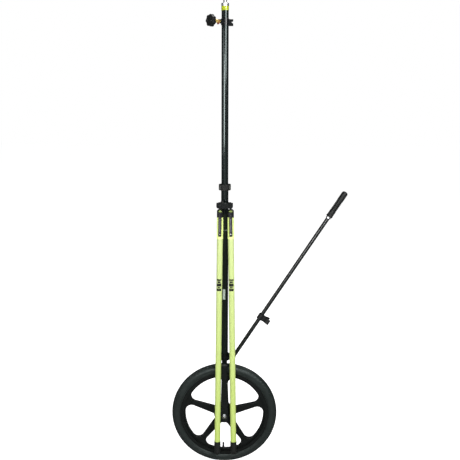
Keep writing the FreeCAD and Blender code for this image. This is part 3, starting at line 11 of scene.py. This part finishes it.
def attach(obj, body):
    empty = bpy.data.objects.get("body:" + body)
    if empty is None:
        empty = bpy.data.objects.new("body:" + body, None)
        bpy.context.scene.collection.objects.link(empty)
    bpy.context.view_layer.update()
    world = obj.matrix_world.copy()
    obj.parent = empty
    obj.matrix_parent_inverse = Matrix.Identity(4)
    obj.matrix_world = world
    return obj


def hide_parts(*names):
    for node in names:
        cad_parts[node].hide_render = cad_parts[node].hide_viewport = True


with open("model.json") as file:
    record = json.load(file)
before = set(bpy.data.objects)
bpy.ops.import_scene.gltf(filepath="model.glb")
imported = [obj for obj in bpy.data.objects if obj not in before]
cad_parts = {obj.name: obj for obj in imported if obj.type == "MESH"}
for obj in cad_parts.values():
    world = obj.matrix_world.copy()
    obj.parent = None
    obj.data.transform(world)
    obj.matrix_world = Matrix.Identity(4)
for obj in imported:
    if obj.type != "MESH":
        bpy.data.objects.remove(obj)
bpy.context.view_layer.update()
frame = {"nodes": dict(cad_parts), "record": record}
nodes = frame["nodes"]
slot_of = {part["node"]: part["material_slot"] for part in frame["record"]["subparts"]}
joints = {joint["name"]: joint for joint in frame["record"]["behaviour"]["joints"]}

MM = 0.001
TURN = 2 * math.pi
FRONT = -math.pi / 2
LEG_SIDES = ("left", "right")


# ------------------------------------------------------------ camera, floor and light

CAMERA_PLACE = Vector((0.0225, -2.675, 1.628))
CAMERA_PITCH = math.radians(11.6)
CAMERA_ROLL = math.radians(0.21)
CAMERA_LENS = 50.1
SENSOR = 36.0


def make_camera():
    """Eye-height camera in front, looking a little down at the pole."""
    data = bpy.data.cameras.new("camera")
    data.lens = CAMERA_LENS
    data.sensor_width = SENSOR
    camera = bpy.data.objects.new("camera", data)
    bpy.context.scene.collection.objects.link(camera)
    tilt = Matrix.Rotation(math.pi / 2 - CAMERA_PITCH, 4, "X")
    roll = Matrix.Rotation(CAMERA_ROLL, 4, "Z")
    camera.matrix_world = Matrix.Translation(CAMERA_PLACE) @ tilt @ roll
    bpy.context.scene.camera = camera


FLOOR_SIZE = 40.0
FLOOR_GREY = 0.9
FLOOR_GLOW = 0.93
BACK_GLOW = 0.04
FRONT_GLOW = 0.16


def make_floor():
    """Pale studio floor under the tyre, glowing a little so that it stays white."""
    bpy.ops.mesh.primitive_plane_add(size=FLOOR_SIZE, location=(0, 0, 0))
    floor = bpy.context.object
    floor.name = "floor"
    floor.visible_glossy = False
    material = bpy.data.materials.new("floor")
    material.use_nodes = True
    shader = material.node_tree.nodes["Principled BSDF"]
    shader.inputs["Base Color"].default_value = (FLOOR_GREY, FLOOR_GREY, FLOOR_GREY, 1)
    shader.inputs["Roughness"].default_value = 0.8
    shader.inputs["Specular IOR Level"].default_value = 0.1
    shader.inputs["Emission Color"].default_value = (1, 1, 1, 1)
    shader.inputs["Emission Strength"].default_value = FLOOR_GLOW
    floor.data.materials.append(material)


def make_world():
    """White backdrop for the camera; what the object itself sees is dim in front and dark behind."""
    world = bpy.data.worlds.new("studio")
    world.use_nodes = True
    tree = world.node_tree
    background = tree.nodes["Background"]
    background.inputs["Color"].default_value = (1, 1, 1, 1)
    direction = tree.nodes.new("ShaderNodeTexCoord")
    parts = tree.nodes.new("ShaderNodeSeparateXYZ")
    tree.links.new(direction.outputs["Generated"], parts.inputs["Vector"])
    fade = tree.nodes.new("ShaderNodeMapRange")
    fade.inputs["From Min"].default_value = 0.3
    fade.inputs["From Max"].default_value = -0.9
    fade.inputs["To Min"].default_value = BACK_GLOW
    fade.inputs["To Max"].default_value = FRONT_GLOW
    tree.links.new(parts.outputs["Y"], fade.inputs["Value"])
    seen = tree.nodes.new("ShaderNodeLightPath")
    choice = tree.nodes.new("ShaderNodeMix")
    tree.links.new(seen.outputs["Is Camera Ray"], choice.inputs["Factor"])
    tree.links.new(fade.outputs["Result"], choice.inputs["A"])
    choice.inputs["B"].default_value = 1.0
    tree.links.new(choice.outputs["Result"], background.inputs["Strength"])
    bpy.context.scene.world = world


def make_area_light(name, place, target, width, height, radiance):
    """Soft rectangular light aimed at a point, set by how bright its face is."""
    data = bpy.data.lights.new(name, "AREA")
    data.shape = "RECTANGLE"
    data.size = width
    data.size_y = height
    data.energy = radiance * math.pi * width * height
    light = bpy.data.objects.new(name, data)
    bpy.context.scene.collection.objects.link(light)
    aim = (Vector(target) - Vector(place)).to_track_quat("-Z", "Y")
    light.matrix_world = Matrix.Translation(Vector(place)) @ aim.to_matrix().to_4x4()
    light.visible_camera = False


# Each soft box: name, place, point aimed at, width, height and brightness of its face.
SOFT_BOXES = (
    ("key", (1.5, -2.7, 2.6), (0, 0, 1.5), 1.3, 1.7, 16.0),
    ("strip", (-0.8, -3.0, 1.6), (0, 0, 1.5), 0.75, 0.75, 25.0),
    ("side", (-2.35, -1.85, 1.68), (0, 0, 1.55), 1.5, 1.05, 2.6),
    ("rear", (0.5, 2.3, 4.4), (0, 0, 0.9), 1.6, 1.6, 6.0),
    ("fill", (0.0, -4.2, 0.8), (0, 0, 0.8), 3.5, 1.6, 0.35),
)


def make_light():
    """A tall soft box at the right, a narrow and a dim one at the left, one high behind and a dim fill."""
    bpy.context.scene.view_settings.view_transform = "Standard"
    make_world()
    for soft_box in SOFT_BOXES:
        make_area_light(*soft_box)


# ------------------------------------------------------------ materials

def add_node(tree, kind, **settings):
    """A shader node with its inputs set by name, or its own properties."""
    node = tree.nodes.new(kind)
    for name, value in settings.items():
        if name in node.inputs:
            node.inputs[name].default_value = value
        else:
            setattr(node, name, value)
    return node


def object_place(tree, stretch=(1, 1, 1)):
    """Object coordinates, multiplied by a factor along each axis."""
    coordinates = add_node(tree, "ShaderNodeTexCoord")
    mapping = add_node(tree, "ShaderNodeMapping")
    mapping.inputs["Scale"].default_value = stretch
    tree.links.new(coordinates.outputs["Object"], mapping.inputs["Vector"])
    return mapping.outputs["Vector"]


def noise(tree, scale, detail=3.0, stretch=(1, 1, 1)):
    """A noise pattern of a given number of cells to the metre."""
    texture = add_node(tree, "ShaderNodeTexNoise", Scale=scale, Detail=detail)
    tree.links.new(object_place(tree, stretch), texture.inputs["Vector"])
    return texture.outputs["Fac"]


def ranged(tree, source, low, high, from_low=0.3, from_high=0.7):
    """The source's values spread between two numbers."""
    node = add_node(tree, "ShaderNodeMapRange")
    node.inputs["From Min"].default_value = from_low
    node.inputs["From Max"].default_value = from_high
    node.inputs["To Min"].default_value = low
    node.inputs["To Max"].default_value = high
    tree.links.new(source, node.inputs["Value"])
    return node.outputs["Result"]


def mixed(tree, factor, colour_a, colour_b):
    """Two colours mixed by a factor; each colour is a value or another node's output."""
    node = tree.nodes.new("ShaderNodeMix")
    node.data_type = "RGBA"
    tree.links.new(factor, node.inputs["Factor"])
    for name, colour in (("A", colour_a), ("B", colour_b)):
        socket = next(one for one in node.inputs if one.name == name and one.type == "RGBA")
        if isinstance(colour, (tuple, list)):
            socket.default_value = (*colour[:3], 1)
        else:
            tree.links.new(colour, socket)
    return next(one for one in node.outputs if one.type == "RGBA")


def shade(colour, factor):
    """A colour made lighter or darker."""
    return tuple(min(channel * factor, 1) for channel in colour)


DUST = (0.35, 0.33, 0.3)
GRAIN_HEIGHT = 0.00012
WORN_WIDTH = 0.0006
LOW_END = 0.1
HIGH_END = 1.1


def finish_material(name, colour, rough, metal=0.0, mottle=0.12, mottle_scale=18, grain=400,
                    grain_depth=0.15, stretch=(1, 1, 1), wear=None, wear_amount=0.5, dust=0.0,
                    coat=0.0, rough_spread=0.08, specular=0.5, tint=(1, 1, 1), painted_falloff_colour=None):
    """A surface with mottled colour, uneven gloss, fine grain, worn edges and a little dust.

    The last argument is the colour it turns into on the way down from HIGH_END to LOW_END: painted shade,
    with the top left paler where the light is strongest and the foot deeper where it falls off.
    """
    material = bpy.data.materials.new(name)
    material.use_nodes = True
    tree = material.node_tree
    shader = tree.nodes["Principled BSDF"]
    shader.inputs["Metallic"].default_value = metal
    shader.inputs["Specular IOR Level"].default_value = specular
    shader.inputs["Coat Weight"].default_value = coat
    shader.inputs["Coat Roughness"].default_value = 0.12
    shader.inputs["Specular Tint"].default_value = (*tint, 1)

    broad = noise(tree, mottle_scale, 4.0, stretch)
    body = mixed(tree, ranged(tree, broad, 0, 1), shade(colour, 1 - mottle), shade(colour, 1 + mottle))
    # Painted shade: the colour deepens towards the foot, and the top stays paler where the light is
    # strongest.
    if painted_falloff_colour:
        height = add_node(tree, "ShaderNodeSeparateXYZ")
        tree.links.new(object_place(tree), height.inputs["Vector"])
        painted_falloff = ranged(tree, height.outputs["Z"], 1, 0, LOW_END, HIGH_END)
        body = mixed(tree, painted_falloff, body, painted_falloff_colour)
    if dust:
        specks = ranged(tree, noise(tree, 60, 8.0), 0, dust, 0.5, 0.75)
        body = mixed(tree, specks, body, DUST)
    if wear:
        geometry = add_node(tree, "ShaderNodeNewGeometry")
        rounded = add_node(tree, "ShaderNodeBevel", Radius=WORN_WIDTH, samples=4)
        bend = add_node(tree, "ShaderNodeVectorMath", operation="DOT_PRODUCT")
        tree.links.new(geometry.outputs["Normal"], bend.inputs[0])
        tree.links.new(rounded.outputs["Normal"], bend.inputs[1])
        edge = ranged(tree, bend.outputs["Value"], wear_amount, 0, 0.8, 0.985)
        broken = ranged(tree, noise(tree, 300, 5.0), 0, 1, 0.4, 0.6)
        both = add_node(tree, "ShaderNodeMath", operation="MULTIPLY")
        tree.links.new(edge, both.inputs[0])
        tree.links.new(broken, both.inputs[1])
        body = mixed(tree, both.outputs["Value"], body, wear)
    tree.links.new(body, shader.inputs["Base Color"])

    smear = noise(tree, 45, 6.0, stretch)
    low = max(rough - rough_spread, 0.03)
    tree.links.new(ranged(tree, smear, low, rough + rough_spread), shader.inputs["Roughness"])

    bump = add_node(tree, "ShaderNodeBump", Strength=grain_depth, Distance=GRAIN_HEIGHT)
    tree.links.new(noise(tree, grain, 3.0, stretch), bump.inputs["Height"])
    tree.links.new(bump.outputs["Normal"], shader.inputs["Normal"])
    return material


BLACK = (0.005, 0.0065, 0.006)
STEEL = (0.58, 0.59, 0.6)
YELLOW = (0.415, 0.49, 0.21)
# Painted shade: the legs' yellow turns deeper towards the floor, where the light falls off.
FALLOFF_SHADE_YELLOW = (0.35, 0.45, 0.1)
ALONG_Z = (1, 1, 0.04)

FINISHES = {
    "black_steel": dict(
        colour=BLACK, rough=0.3, grain=900, wear=(0.08, 0.08, 0.08), dust=0.005, specular=0.22),
    "zinc_steel": dict(
        colour=STEEL, rough=0.28, metal=1.0, mottle=0.08, grain=700, grain_depth=0.08, rough_spread=0.1),
    "bearing_steel": dict(
        colour=(0.66, 0.67, 0.7), rough=0.18, metal=1.0, mottle=0.05, grain=900, grain_depth=0.04),
    "black_tube": dict(
        colour=(0.005, 0.007, 0.007), rough=0.13, mottle=0.15, grain=260, grain_depth=0.04,
        stretch=ALONG_Z, wear=(0.15, 0.15, 0.15), wear_amount=0.3, rough_spread=0.04,
        tint=(0.86, 1, 0.98)),
    "black_metal": dict(
        colour=(0.005, 0.006, 0.0065), rough=0.27, grain=1100, grain_depth=0.15,
        wear=(0.12, 0.12, 0.12), specular=0.16),
    "gloss_metal": dict(
        colour=(0.005, 0.006, 0.0065), rough=0.17, grain=1100, grain_depth=0.1,
        wear=(0.12, 0.12, 0.12), specular=0.38, rough_spread=0.04),
    # The ring is really there, but its light grey is a painted highlight, the shine of a bright ferrule.
    "light_ring": dict(colour=(0.12, 0.14, 0.13), rough=0.35, grain=500, grain_depth=0.1),
    "black_plastic": dict(
        colour=(0.008, 0.0085, 0.0085), rough=0.4, grain=1500, grain_depth=0.3,
        wear=(0.08, 0.08, 0.08), specular=0.25),
    "label_film": dict(
        colour=(0.43, 0.5, 0.46), rough=0.3, mottle=0.1, mottle_scale=90, grain=600, grain_depth=0.1),
    "print_black": dict(
        colour=(0.006, 0.007, 0.006), rough=0.4, grain=900, grain_depth=0.1, specular=0.2),
    # Painted sheen: a lighter grey standing in for the light caught on the collar's sides.
    "collar_sheen_grey": dict(colour=(0.06, 0.062, 0.056), rough=0.5, grain=1500, grain_depth=0.3),
    "white_plastic": dict(
        colour=(0.78, 0.78, 0.74), rough=0.4, mottle=0.03, grain=600, grain_depth=0.1),
    "wheel_plastic": dict(
        colour=(0.004, 0.0052, 0.0048), rough=0.34, grain=1200, grain_depth=0.25,
        wear=(0.05, 0.05, 0.05), dust=0.003, specular=0.22),
    "tyre_rubber": dict(
        colour=(0.008, 0.0105, 0.0098), rough=0.46, grain=900, grain_depth=0.35, dust=0.012,
        rough_spread=0.1, specular=0.4, tint=(0.86, 1, 0.97)),
    "tube_rubber": dict(colour=(0.015, 0.016, 0.016), rough=0.6, grain=700, grain_depth=0.3),
    "bright_yellow": dict(
        colour=(0.3, 0.35, 0.015), rough=0.13, mottle=0.05, grain=500, grain_depth=0.05,
        rough_spread=0.05),
    "bare_aluminium": dict(
        colour=(0.84, 0.85, 0.87), rough=0.36, metal=1.0, mottle=0.05, grain=500, grain_depth=0.12,
        stretch=(1, 1, 30)),
    "red_plastic": dict(colour=(0.14, 0.008, 0.008), rough=0.4, mottle=0.1, grain=800, specular=0.3),
    "brass": dict(
        colour=(0.85, 0.62, 0.2), rough=0.3, metal=0.7, mottle=0.1, grain=700, grain_depth=0.1),
    "black_rod": dict(
        colour=BLACK, rough=0.25, grain=300, grain_depth=0.05, wear=(0.3, 0.3, 0.3), wear_amount=0.4,
        rough_spread=0.04),
    "grip_rubber": dict(
        colour=(0.006, 0.007, 0.007), rough=0.5, grain=1300, grain_depth=0.5, dust=0.008, specular=0.3),
    "leg_yellow": dict(
        colour=YELLOW, rough=0.3, mottle=0.05, mottle_scale=9, grain=220, grain_depth=0.06,
        stretch=ALONG_Z, coat=0.4, painted_falloff_colour=FALLOFF_SHADE_YELLOW),
    "sleeve_yellow": dict(
        colour=(0.65, 0.76, 0.26), rough=0.33, mottle=0.04, grain=700, grain_depth=0.1),
    "boot_rubber": dict(
        colour=(0.007, 0.008, 0.0075), rough=0.5, grain=1100, grain_depth=0.4, dust=0.01, specular=0.25),
    "lever_grey": dict(
        colour=(0.009, 0.0085, 0.012), rough=0.24, grain=800, grain_depth=0.12, wear=(0.2, 0.2, 0.21),
        specular=0.3),
    # Painted highlight: a lighter grey for the stripe of light down each lever's face.
    "lever_highlight_ridge": dict(colour=(0.1, 0.097, 0.12), rough=0.3, grain=800, grain_depth=0.1),
    "button_yellow": dict(
        colour=(0.16, 0.21, 0.05), rough=0.3, mottle=0.06, grain=900, grain_depth=0.15),
}
made = {}


def material_of(finish):
    """The finish's material, made once."""
    if finish not in made:
        made[finish] = finish_material(finish, **FINISHES[finish])
    return made[finish]


NODE_FINISH = {"top_clamp": "gloss_metal"}


def dress_nodes():
    """Give each CAD node its slot's material, or its own finish."""
    for name, piece in nodes.items():
        piece.data.materials.clear()
        piece.data.materials.append(material_of(NODE_FINISH.get(name, slot_of[name])))


# ------------------------------------------------------------ mesh helpers

def add_piece(name, mesh, slot, body, hidden=(), shift=None, sharp=32, finish=None):
    """A finished piece: creases where faces meet sharply, a material from its slot or its own finish,
    place and body.

    `hidden` names the CAD nodes it stands for; `finish` is its own finish where the slot's won't do.
    """
    bmesh.ops.recalc_face_normals(mesh, faces=mesh.faces)
    for edge in mesh.edges:
        edge.smooth = edge.calc_face_angle(0) < math.radians(sharp)
    for face in mesh.faces:
        face.smooth = True
    data = bpy.data.meshes.new(name)
    mesh.to_mesh(data)
    mesh.free()
    data.transform(shift or Matrix.Identity(4))
    piece = bpy.data.objects.new(name, data)
    bpy.context.scene.collection.objects.link(piece)
    piece.data.materials.append(material_of(finish or slot))
    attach(piece, body)
    if hidden:
        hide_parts(*hidden)


def skin_rows(mesh, rows, closed_along=False):
    """Faces between neighbouring closed rows of points, all of equal length."""
    made_rows = [[mesh.verts.new(point) for point in row] for row in rows]
    count = len(made_rows)
    for index in range(count if closed_along else count - 1):
        near = made_rows[index]
        far = made_rows[(index + 1) % count]
        for step in range(len(near)):
            following = (step + 1) % len(near)
            mesh.faces.new((near[step], near[following], far[following], far[step]))
    return made_rows


def ring_of_points(radius, height, steps):
    """Points round Z at one height; radius and height in metres."""
    return [(radius * math.cos(TURN * step / steps), radius * math.sin(TURN * step / steps), height)
            for step in range(steps)]


def turned_mesh(profile, steps):
    """A closed lathe-turned mesh about Z: the profile is a list of (radius, height)."""
    mesh = bmesh.new()
    made_rows = skin_rows(mesh, [ring_of_points(radius, height, steps) for radius, height in profile])
    mesh.faces.new(made_rows[0])
    mesh.faces.new(made_rows[-1])
    return mesh


def curved_patch(mesh, radius, thickness, middle, half_width, low, high, steps=10):
    """Adds a thin plate bent round Z: its middle's azimuth, half its arc and its foot and head."""
    rows = []
    for height in (low, high):
        inner = []
        outer = []
        for step in range(steps + 1):
            angle = middle - half_width + 2 * half_width * step / steps
            inner.append((radius * math.cos(angle), radius * math.sin(angle), height))
            reach = radius + thickness
            outer.append((reach * math.cos(angle), reach * math.sin(angle), height))
        rows.append(inner + outer[::-1])
    made_rows = skin_rows(mesh, rows)
    half = steps + 1
    for row in made_rows:
        for step in range(steps):
            last = 2 * half - 1 - step
            mesh.faces.new((row[step], row[step + 1], row[last - 1], row[last]))


# ------------------------------------------------------------ finer pieces

def joint_place(name):
    """Where a joint turns, at rest."""
    return Vector(joints[name]["pos_m"])


def joint_axis(name):
    """The direction a joint slides along or turns about, at rest."""
    return Vector(joints[name]["axis"])


Z_TO_FRONT = Matrix.Rotation(math.pi / 2, 4, "X")

# The tyre, in millimetres; places on its skin are degrees from the crown.
WHEEL_RADIUS = joint_place("wheel_spin").z / MM
TYRE_SECTION = 23.0
TYRE_RING = WHEEL_RADIUS - TYRE_SECTION
TYRE_WALL = 4.0
BEAD_TOP = 198.5
BEAD_FOOT = 189.0
BEAD_OUT = 13.0
BEAD_IN = 8.0
CASING_FOOT = 197.5
LUGS = 84
STEPS_PER_LUG = 8
GROOVES = (24, 46)
GROOVE_HALF_WIDTH = 2.4
GROOVE_DEPTH = 1.0
SHOULDER_END = 64
SIDE_RIBS = (78, 104, 118)
SIDE_RIB_HALF_WIDTH = 1.6
SIDE_RIB_HEIGHT = 0.45


def slit(phase, half_width, depth):
    """Depth of a cut across a lug, whose phase runs from 0 to 1."""
    return depth if abs(phase % 1.0 - 0.5) < half_width else 0.0


def tread_depth(across, around):
    """How far the tyre's skin lies below its round section, in mm, at a place on the tread.

    `across` is the angle from the crown in degrees; `around` is the share of a turn.
    """
    side = abs(across)
    for groove in GROOVES:
        near = abs(side - groove)
        if near < GROOVE_HALF_WIDTH:
            return GROOVE_DEPTH * (1 - near / GROOVE_HALF_WIDTH)
    phase = (around * LUGS) % 1.0
    if side < GROOVES[0]:
        return slit(phase + 0.25 * math.copysign(1, across) + across / 60, 0.09, 0.7)
    if side < GROOVES[1]:
        return slit(phase + 0.5 - side / 80, 0.12, 1.1)
    if side < SHOULDER_END:
        return slit(phase, 0.16, 0.9)
    for rib in SIDE_RIBS:
        if abs(side - rib) < SIDE_RIB_HALF_WIDTH:
            return -SIDE_RIB_HEIGHT
    return 0.0


def make_tyre():
    """Tyre with a block tread, two grooves each side, thin sidewall rings and a real casing."""
    steps = LUGS * STEPS_PER_LUG
    skin_steps, inside_steps = 132, 24
    hollow = TYRE_SECTION - TYRE_WALL
    edge = math.degrees(math.acos((BEAD_TOP - TYRE_RING) / TYRE_SECTION))
    inner_edge = math.degrees(math.acos((CASING_FOOT - TYRE_RING) / hollow))
    outer_angles = [-edge + 2 * edge * step / skin_steps for step in range(skin_steps + 1)]
    inner_angles = [inner_edge - 2 * inner_edge * step / inside_steps for step in range(inside_steps + 1)]
    bead_front = [(BEAD_TOP, BEAD_OUT), (BEAD_FOOT, BEAD_OUT), (BEAD_FOOT, BEAD_IN)]
    bead_rear = [(radius, -height) for radius, height in reversed(bead_front)]
    casing = [(TYRE_RING + hollow * math.cos(math.radians(angle)), hollow * math.sin(math.radians(angle)))
              for angle in inner_angles]
    rows = []
    for step in range(steps):
        turn = step / steps
        outline = []
        for across in outer_angles:
            reach = TYRE_SECTION - tread_depth(across, turn)
            outline.append((TYRE_RING + reach * math.cos(math.radians(across)),
                            reach * math.sin(math.radians(across))))
        outline += bead_front + casing + bead_rear
        cosine, sine = math.cos(TURN * turn), math.sin(TURN * turn)
        rows.append([(radius * cosine * MM, radius * sine * MM, height * MM)
                     for radius, height in outline])
    mesh = bmesh.new()
    skin_rows(mesh, rows, closed_along=True)
    wheel_place = Matrix.Translation(joint_place("wheel_spin")) @ Z_TO_FRONT
    add_piece("tyre_tread", mesh, "tyre_rubber", "wheel", hidden=("tyre",), shift=wheel_place, sharp=26)


# The antenna stud, in millimetres.
STUD_FOOT = 2000.0
STUD_HEAD = 2019.0
STUD_BEVEL = 1.5
SPIGOT_FOOT = 1962.0
SPIGOT_RADIUS = 5
THREAD_PITCH = 2.309
THREAD_MAJOR = 7.94
THREAD_MINOR = 6.75
FLANK_STEEPNESS = 2.5
CREST_SHARE = 0.12


def make_stud():
    """Antenna stud with a cut helical thread, a bevelled top and a plain spigot below."""
    around, per_turn = 64, 14
    count = int((STUD_HEAD - STUD_FOOT) / THREAD_PITCH * per_turn)
    rows = [ring_of_points(SPIGOT_RADIUS * MM, height * MM, around) for height in (SPIGOT_FOOT, STUD_FOOT)]
    for row in range(count + 1):
        height = STUD_FOOT + (STUD_HEAD - STUD_FOOT) * row / count
        points = []
        for step in range(around):
            phase = ((height - STUD_FOOT) / THREAD_PITCH - step / around) % 1.0
            flank = min(max((0.5 - abs(phase - 0.5)) * FLANK_STEEPNESS - CREST_SHARE, 0), 1)
            reach = THREAD_MAJOR - (THREAD_MAJOR - THREAD_MINOR) * flank
            reach = min(reach, THREAD_MAJOR - STUD_BEVEL + (STUD_HEAD - height))
            points.append((reach * MM * math.cos(TURN * step / around),
                           reach * MM * math.sin(TURN * step / around), height * MM))
        rows.append(points)
    mesh = bmesh.new()
    made_rows = skin_rows(mesh, rows)
    mesh.faces.new(made_rows[0])
    mesh.faces.new(made_rows[-1])
    add_piece("stud_thread", mesh, slot_of["antenna_stud"], "mast", hidden=("antenna_stud",), sharp=40)


def leg_turn(side):
    """A leg's small outward lean, from the way its tube slides."""
    down = joint_axis(f"{side}_extend")
    return Matrix.Rotation(math.atan2(-down.x, -down.z), 4, "Y")


def leg_frame(side):
    """Frame of a leg: its hinge and its lean, with the tube running down from it."""
    return Matrix.Translation(joint_place(f"{side}_splay")) @ leg_turn(side)


def lever_frame(side):
    """Frame of a leg's squeeze lever: its pin, and its blade running down and a little forward."""
    lean = Matrix.Rotation(math.radians(-3), 4, "X")
    return Matrix.Translation(joint_place(f"{side}_squeeze")) @ leg_turn(side) @ lean


# Plain bars: distance below the hinge, height in millimetres and half the arc in degrees.
MARK_BARS = ((314, 7, 48), (323, 8, 30), (333, 13, 48), (348, 6, 26), (356, 10, 48))
MARK_RADIUS = 12.7
PRINT_THICKNESS = 0.12


def make_leg_marks(side):
    """Plain printed bars on the front of a leg's outer tube, where the real one carries lettering."""
    middle = FRONT - math.radians(6)
    mesh = bmesh.new()
    for drop, height, half_arc in MARK_BARS:
        curved_patch(mesh, MARK_RADIUS * MM, PRINT_THICKNESS * MM, middle, math.radians(half_arc),
                     -(drop + height) * MM, -drop * MM)
    add_piece(f"{side}_leg_marks", mesh, "black_plastic", f"{side}_leg", shift=leg_frame(side),
              finish="print_black")


BOOT_RIB_COUNT = 5
BOOT_RIB_TOP = 1078
BOOT_RIB_PITCH = 9
BOOT_RIB_OUTLINE = ((13.7, -1.6), (14.4, -0.9), (14.4, 0.9), (13.7, 1.6))


def make_boot_ribs(side):
    """Rings round a leg's rubber boot."""
    around = 48
    mesh = bmesh.new()
    for rib in range(BOOT_RIB_COUNT):
        centre = -(BOOT_RIB_TOP + rib * BOOT_RIB_PITCH)
        rows = []
        for step in range(around):
            angle = TURN * step / around
            rows.append([(reach * MM * math.cos(angle), reach * MM * math.sin(angle), (centre + rise) * MM)
                         for reach, rise in BOOT_RIB_OUTLINE])
        skin_rows(mesh, rows, closed_along=True)
    add_piece(f"{side}_boot_ribs", mesh, "boot_rubber", f"{side}_leg", shift=leg_frame(side))


RIVET_DROP = 81
RIVET_PROFILE = ((2.85, 4.0), (2.85, 4.25), (2.5, 4.7), (1.8, 5.0), (0.9, 5.15), (0.2, 5.2))


def make_rivet(side):
    """Bright domed head on a lever's rivet."""
    mesh = turned_mesh([(radius * MM, height * MM) for radius, height in RIVET_PROFILE], steps=32)
    down = Matrix.Translation(Vector((0, 0, -RIVET_DROP)) * MM)
    add_piece(f"{side}_rivet_head", mesh, "zinc_steel", f"{side}_trigger",
              shift=lever_frame(side) @ down @ Z_TO_FRONT)


RIDGE_SECTION = ((-1.9, -2.8), (-1.5, -3.7), (1.5, -3.7), (1.9, -2.8))
RIDGE_FOOT = -73.0
RIDGE_TOP = -16.0
RIDGE_END = 1.0
RIDGE_END_SHARE = 0.55


def make_lever_highlight_ridge(side):
    """Narrow raised ridge down the middle of a lever's face, drawn in at both ends, in a lighter grey: a
    painted highlight, the stripe of light down the lever's rounded face.
    """
    rows = []
    for height, share in ((RIDGE_FOOT, RIDGE_END_SHARE), (RIDGE_FOOT + RIDGE_END, 1.0),
                          (RIDGE_TOP - RIDGE_END, 1.0), (RIDGE_TOP, RIDGE_END_SHARE)):
        rows.append([(x * share * MM, y * MM, height * MM) for x, y in RIDGE_SECTION])
    mesh = bmesh.new()
    made_rows = skin_rows(mesh, rows)
    mesh.faces.new(made_rows[0])
    mesh.faces.new(made_rows[-1])
    add_piece(f"{side}_lever_highlight_ridge", mesh, "lever_grey", f"{side}_trigger",
              shift=lever_frame(side), finish="lever_highlight_ridge")


LABEL_RADIUS = 15.4
LABEL_FOOT = 774
LABEL_TOP = 820


def make_label():
    """Plain pale label on the front of the lower pole, without any lettering."""
    mesh = bmesh.new()
    curved_patch(mesh, LABEL_RADIUS * MM, PRINT_THICKNESS * MM, FRONT - math.radians(10),
                 math.radians(20), LABEL_FOOT * MM, LABEL_TOP * MM, steps=16)
    add_piece("pole_label", mesh, "white_plastic", "pole", finish="label_film")


PAD_RADIUS = 24.9
PAD_THICKNESS = 0.7
PAD_HALF_HEIGHT = 9
PAD_RIBS = 8
PAD_RIB_PITCH = 11
PAD_RIB_HALF_ARC = 3.6


def make_collar_sheen_pads():
    """Two finely ribbed pads on the sides of the twist lock's collar, in a lighter grey: painted sheen for
    the light that the collar's sides catch.
    """
    centre = joint_place("collar_twist").z
    first = -PAD_RIB_PITCH * (PAD_RIBS - 1) / 2
    mesh = bmesh.new()
    for middle in (0.0, math.pi):
        for rib in range(PAD_RIBS):
            angle = middle + math.radians(first + PAD_RIB_PITCH * rib)
            curved_patch(mesh, PAD_RADIUS * MM, PAD_THICKNESS * MM, angle, math.radians(PAD_RIB_HALF_ARC),
                         centre - PAD_HALF_HEIGHT * MM, centre + PAD_HALF_HEIGHT * MM, steps=4)
    add_piece("collar_sheen_pads", mesh, "black_plastic", "collar", finish="collar_sheen_grey")


def knob_frame():
    """Frame of the clamp screw: the pole's axis at its height, with Z running out to the knob."""
    out = joint_axis("knob_turn")
    turn = Matrix.Rotation(math.atan2(out.x, -out.y), 4, "Z")
    return Matrix.Translation(joint_place("knob_turn")) @ turn @ Z_TO_FRONT


SEAL_PROFILE = ((7.1, 22.1), (8.2, 22.1), (8.2, 30.6), (7.8, 31.4), (7.1, 31.4))
KNOB_CAP_PROFILE = ((12.5, 82.3), (12.5, 83.0), (11.9, 83.5), (10.2, 83.5), (9.8, 83.1), (0.5, 83.1))


def make_seal():
    """Black sleeve on the clamp's boss, round the screw's shoulder."""
    mesh = bmesh.new()
    rows = [ring_of_points(radius * MM, height * MM, 48) for radius, height in SEAL_PROFILE]
    skin_rows(mesh, rows, closed_along=True)
    add_piece("screw_seal", mesh, "black_metal", "mast", shift=knob_frame())


def make_knob_face():
    """Round cap pressed into the middle of the star knob's face."""
    mesh = turned_mesh([(radius * MM, height * MM) for radius, height in KNOB_CAP_PROFILE], steps=64)
    add_piece("knob_cap", mesh, "black_plastic", "knob", shift=knob_frame())


# ------------------------------------------------------------ make everything

make_camera()
make_floor()
make_light()
dress_nodes()
make_tyre()
make_stud()
make_label()
make_collar_sheen_pads()
make_seal()
make_knob_face()
for leg_side in LEG_SIDES:
    make_leg_marks(leg_side)
    make_boot_ribs(leg_side)
    make_rivet(leg_side)
    make_lever_highlight_ridge(leg_side)
